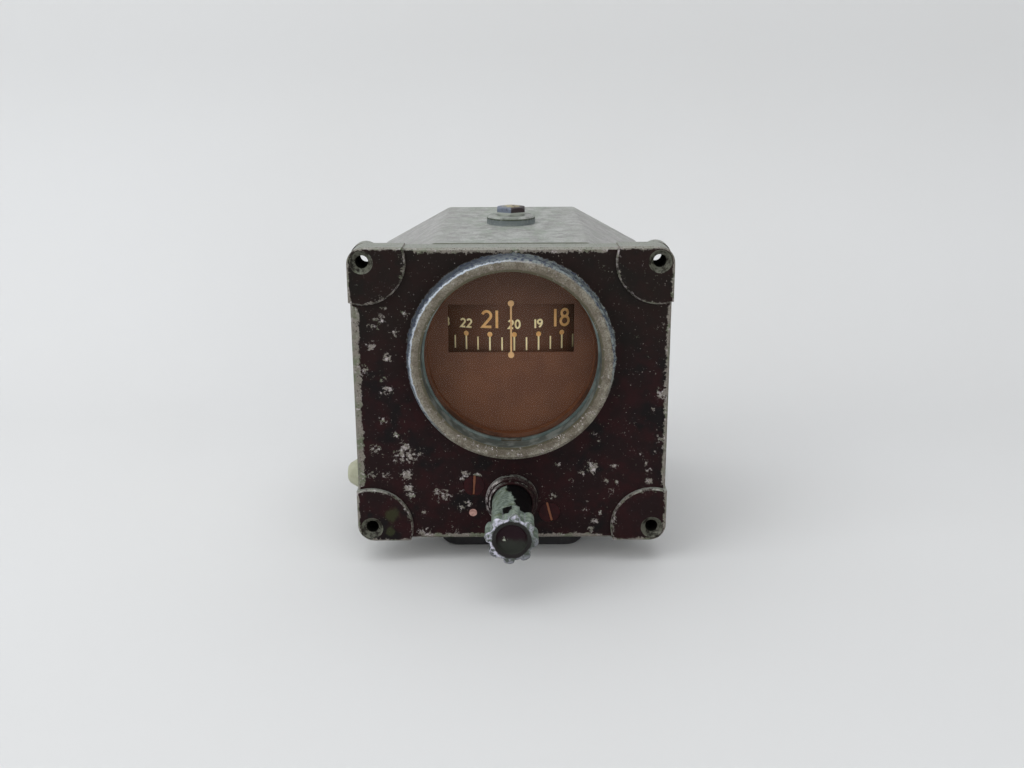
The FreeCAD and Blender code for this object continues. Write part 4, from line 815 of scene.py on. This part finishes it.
def drawCream(bm):
    for five in range(0, 72):
        p = cardFigures['fives' if five % 2 else 'tens']
        across = placeOf(five * 5)
        addRibbon(bm, [(across, p['low']), (across, p['high'])], p['width'])
        if five % 2 == 0 and five % 6:
            addNumber(bm, str(five // 2), across, cardFigures['small'])


addPiece('cardLargeFigures', figureMesh('cardLargeFigures', drawTan), makePlainFinish('tanFigures'),
         'azimuth_gimbal')
addPiece('cardSmallFigures', figureMesh('cardSmallFigures', drawCream), makePlainFinish('creamFigures'),
         'azimuth_gimbal')
print('card figures drawn')

# the pipe thread in the rear port
portThread = {'z': -45.0, 'radius': 5.62, 'depth': 0.55, 'pitch': 1.41, 'front': 106.8, 'back': 117.4,
              'steps': 40}


def threadMesh():
    p = portThread
    bm = bmesh.new()
    turns = (p['back'] - p['front'] - p['pitch']) / p['pitch']
    rows = []
    for k in range(int(turns * p['steps']) + 1):
        turn = 2 * math.pi * k / p['steps']
        y = p['front'] + p['pitch'] * k / p['steps']
        shape = ((p['radius'], 0.0), (p['radius'] - p['depth'], p['pitch'] * 0.42),
                 (p['radius'] - p['depth'], p['pitch'] * 0.5), (p['radius'], p['pitch'] * 0.92))
        rows.append([bm.verts.new(Vector((r * math.cos(turn), y + dy, p['z'] + r * math.sin(turn))) * mm)
                     for r, dy in shape])
    for one, two in zip(rows, rows[1:]):
        for k in range(3):
            bm.faces.new((one[k], one[k + 1], two[k + 1], two[k]))
    bmesh.ops.recalc_face_normals(bm, faces=bm.faces)
    mesh = bpy.data.meshes.new('portThread')
    bm.to_mesh(mesh)
    bm.free()
    for face in mesh.polygons:
        face.use_smooth = True
    return mesh


addPiece('portThread', threadMesh(), finishes['case_metal'], 'case')

# pale floor that curves up into a backdrop
sweep = {'front': -1.8, 'foot': 0.42, 'bend': 0.22, 'top': 1.7, 'halfWidth': 2.4, 'steps': 14,
         'tone': srgb(226, 227, 228), 'toneWarm': srgb(221, 221, 220)}


def sweepMesh():
    p = sweep
    floorZ = cadBounds[0][2]
    profile = [(p['front'], floorZ), (p['foot'] - p['bend'], floorZ)]
    for k in range(1, p['steps'] + 1):
        turn = math.pi / 2 * k / p['steps']
        inward, upward = p['bend'] * (1 - math.sin(turn)), p['bend'] * (1 - math.cos(turn))
        profile.append((p['foot'] - inward, floorZ + upward))
    profile.append((p['foot'], p['top']))
    bm = bmesh.new()
    rows = [[bm.verts.new((x, y, z)) for x in (-p['halfWidth'], p['halfWidth'])] for y, z in profile]
    for one, two in zip(rows, rows[1:]):
        bm.faces.new((one[0], one[1], two[1], two[0]))
    mesh = bpy.data.meshes.new('sweep')
    bm.to_mesh(mesh)
    bm.free()
    for face in mesh.polygons:
        face.use_smooth = True
    return mesh


def makeSweepPaper():
    m = startMaterial('sweepPaper')
    colour = blend(m, noise(m, 300.0, 2.0), sweep['tone'], sweep['toneWarm'])
    return dress(m, colour, 0.9, 0.0, bump(m, noise(m, 1.5, 2.0), 0.03, 0.2))


floor = bpy.data.objects.new('sweep', sweepMesh())
bpy.context.scene.collection.objects.link(floor)
floor.data.materials.append(makeSweepPaper())

# soft studio light: an overhead box, a window-like box on the left and a weak front fill
lamps = {
    'overhead': {'at': (-0.15, -0.05, 1.25), 'size': 1.5, 'power': 9.0, 'tint': (1.0, 1.0, 1.0)},
    'left': {'at': (-1.1, -0.75, 0.75), 'size': 1.1, 'power': 8.0, 'tint': (0.96, 0.98, 1.0)},
    'front': {'at': (0.75, -1.35, 0.55), 'size': 1.2, 'power': 6.0, 'tint': (1.0, 0.99, 0.97)},
}
for name, p in lamps.items():
    light = bpy.data.lights.new(name, 'AREA')
    light.shape = 'SQUARE'
    light.size = p['size']
    light.energy = p['power']
    light.color = p['tint']
    lamp = bpy.data.objects.new(name, light)
    lamp.location = p['at']
    lamp.rotation_euler = (Vector((0, 0.03, -0.01)) - Vector(p['at'])).to_track_quat('-Z', 'Y').to_euler()
    bpy.context.scene.collection.objects.link(lamp)

surround = {'shade': (0.80, 0.82, 0.85, 1.0), 'lightStrength': 0.42, 'seenStrength': 0.95}


def makeSurround():
    p = surround
    world = bpy.data.worlds.new('surround')
    world.use_nodes = True
    tree = world.node_tree
    tree.nodes.clear()
    output = tree.nodes.new('ShaderNodeOutputWorld')
    mixer = tree.nodes.new('ShaderNodeMixShader')
    rays = tree.nodes.new('ShaderNodeLightPath')
    for index, strength in ((1, p['lightStrength']), (2, p['seenStrength'])):
        shade = tree.nodes.new('ShaderNodeBackground')
        shade.inputs['Color'].default_value = p['shade']
        shade.inputs['Strength'].default_value = strength
        tree.links.new(shade.outputs[0], mixer.inputs[index])
    tree.links.new(rays.outputs['Is Camera Ray'], mixer.inputs[0])
    tree.links.new(mixer.outputs[0], output.inputs['Surface'])
    bpy.context.scene.world = world


makeSurround()
bpy.context.scene.view_settings.view_transform = 'Standard'
print('stage and light set')

# camera fitted to the photograph: position in metres, angles in degrees
camera = {'at': (0.00162, -0.46371, 0.13499), 'tilt': 16.067, 'pan': -0.167, 'roll': 0.273, 'lens': 39.06}


def addCamera():
    p = camera
    tilt, pan, roll = (math.radians(p[key]) for key in ('tilt', 'pan', 'roll'))
    ahead = Vector((math.sin(pan) * math.cos(tilt), math.cos(pan) * math.cos(tilt), -math.sin(tilt)))
    level = Vector((math.cos(pan), -math.sin(pan), 0))
    down = ahead.cross(level)
    across = level * math.cos(roll) + down * math.sin(roll)
    below = down * math.cos(roll) - level * math.sin(roll)
    data = bpy.data.cameras.new('photoCamera')
    data.sensor_width = 36.0
    data.lens = p['lens']
    data.clip_start = 0.01
    eye = bpy.data.objects.new('photoCamera', data)
    matrix = Matrix((across, -below, -ahead)).transposed().to_4x4()
    matrix.translation = Vector(p['at'])
    eye.matrix_world = matrix
    bpy.context.scene.collection.objects.link(eye)
    bpy.context.scene.camera = eye


addCamera()
print('camera set')
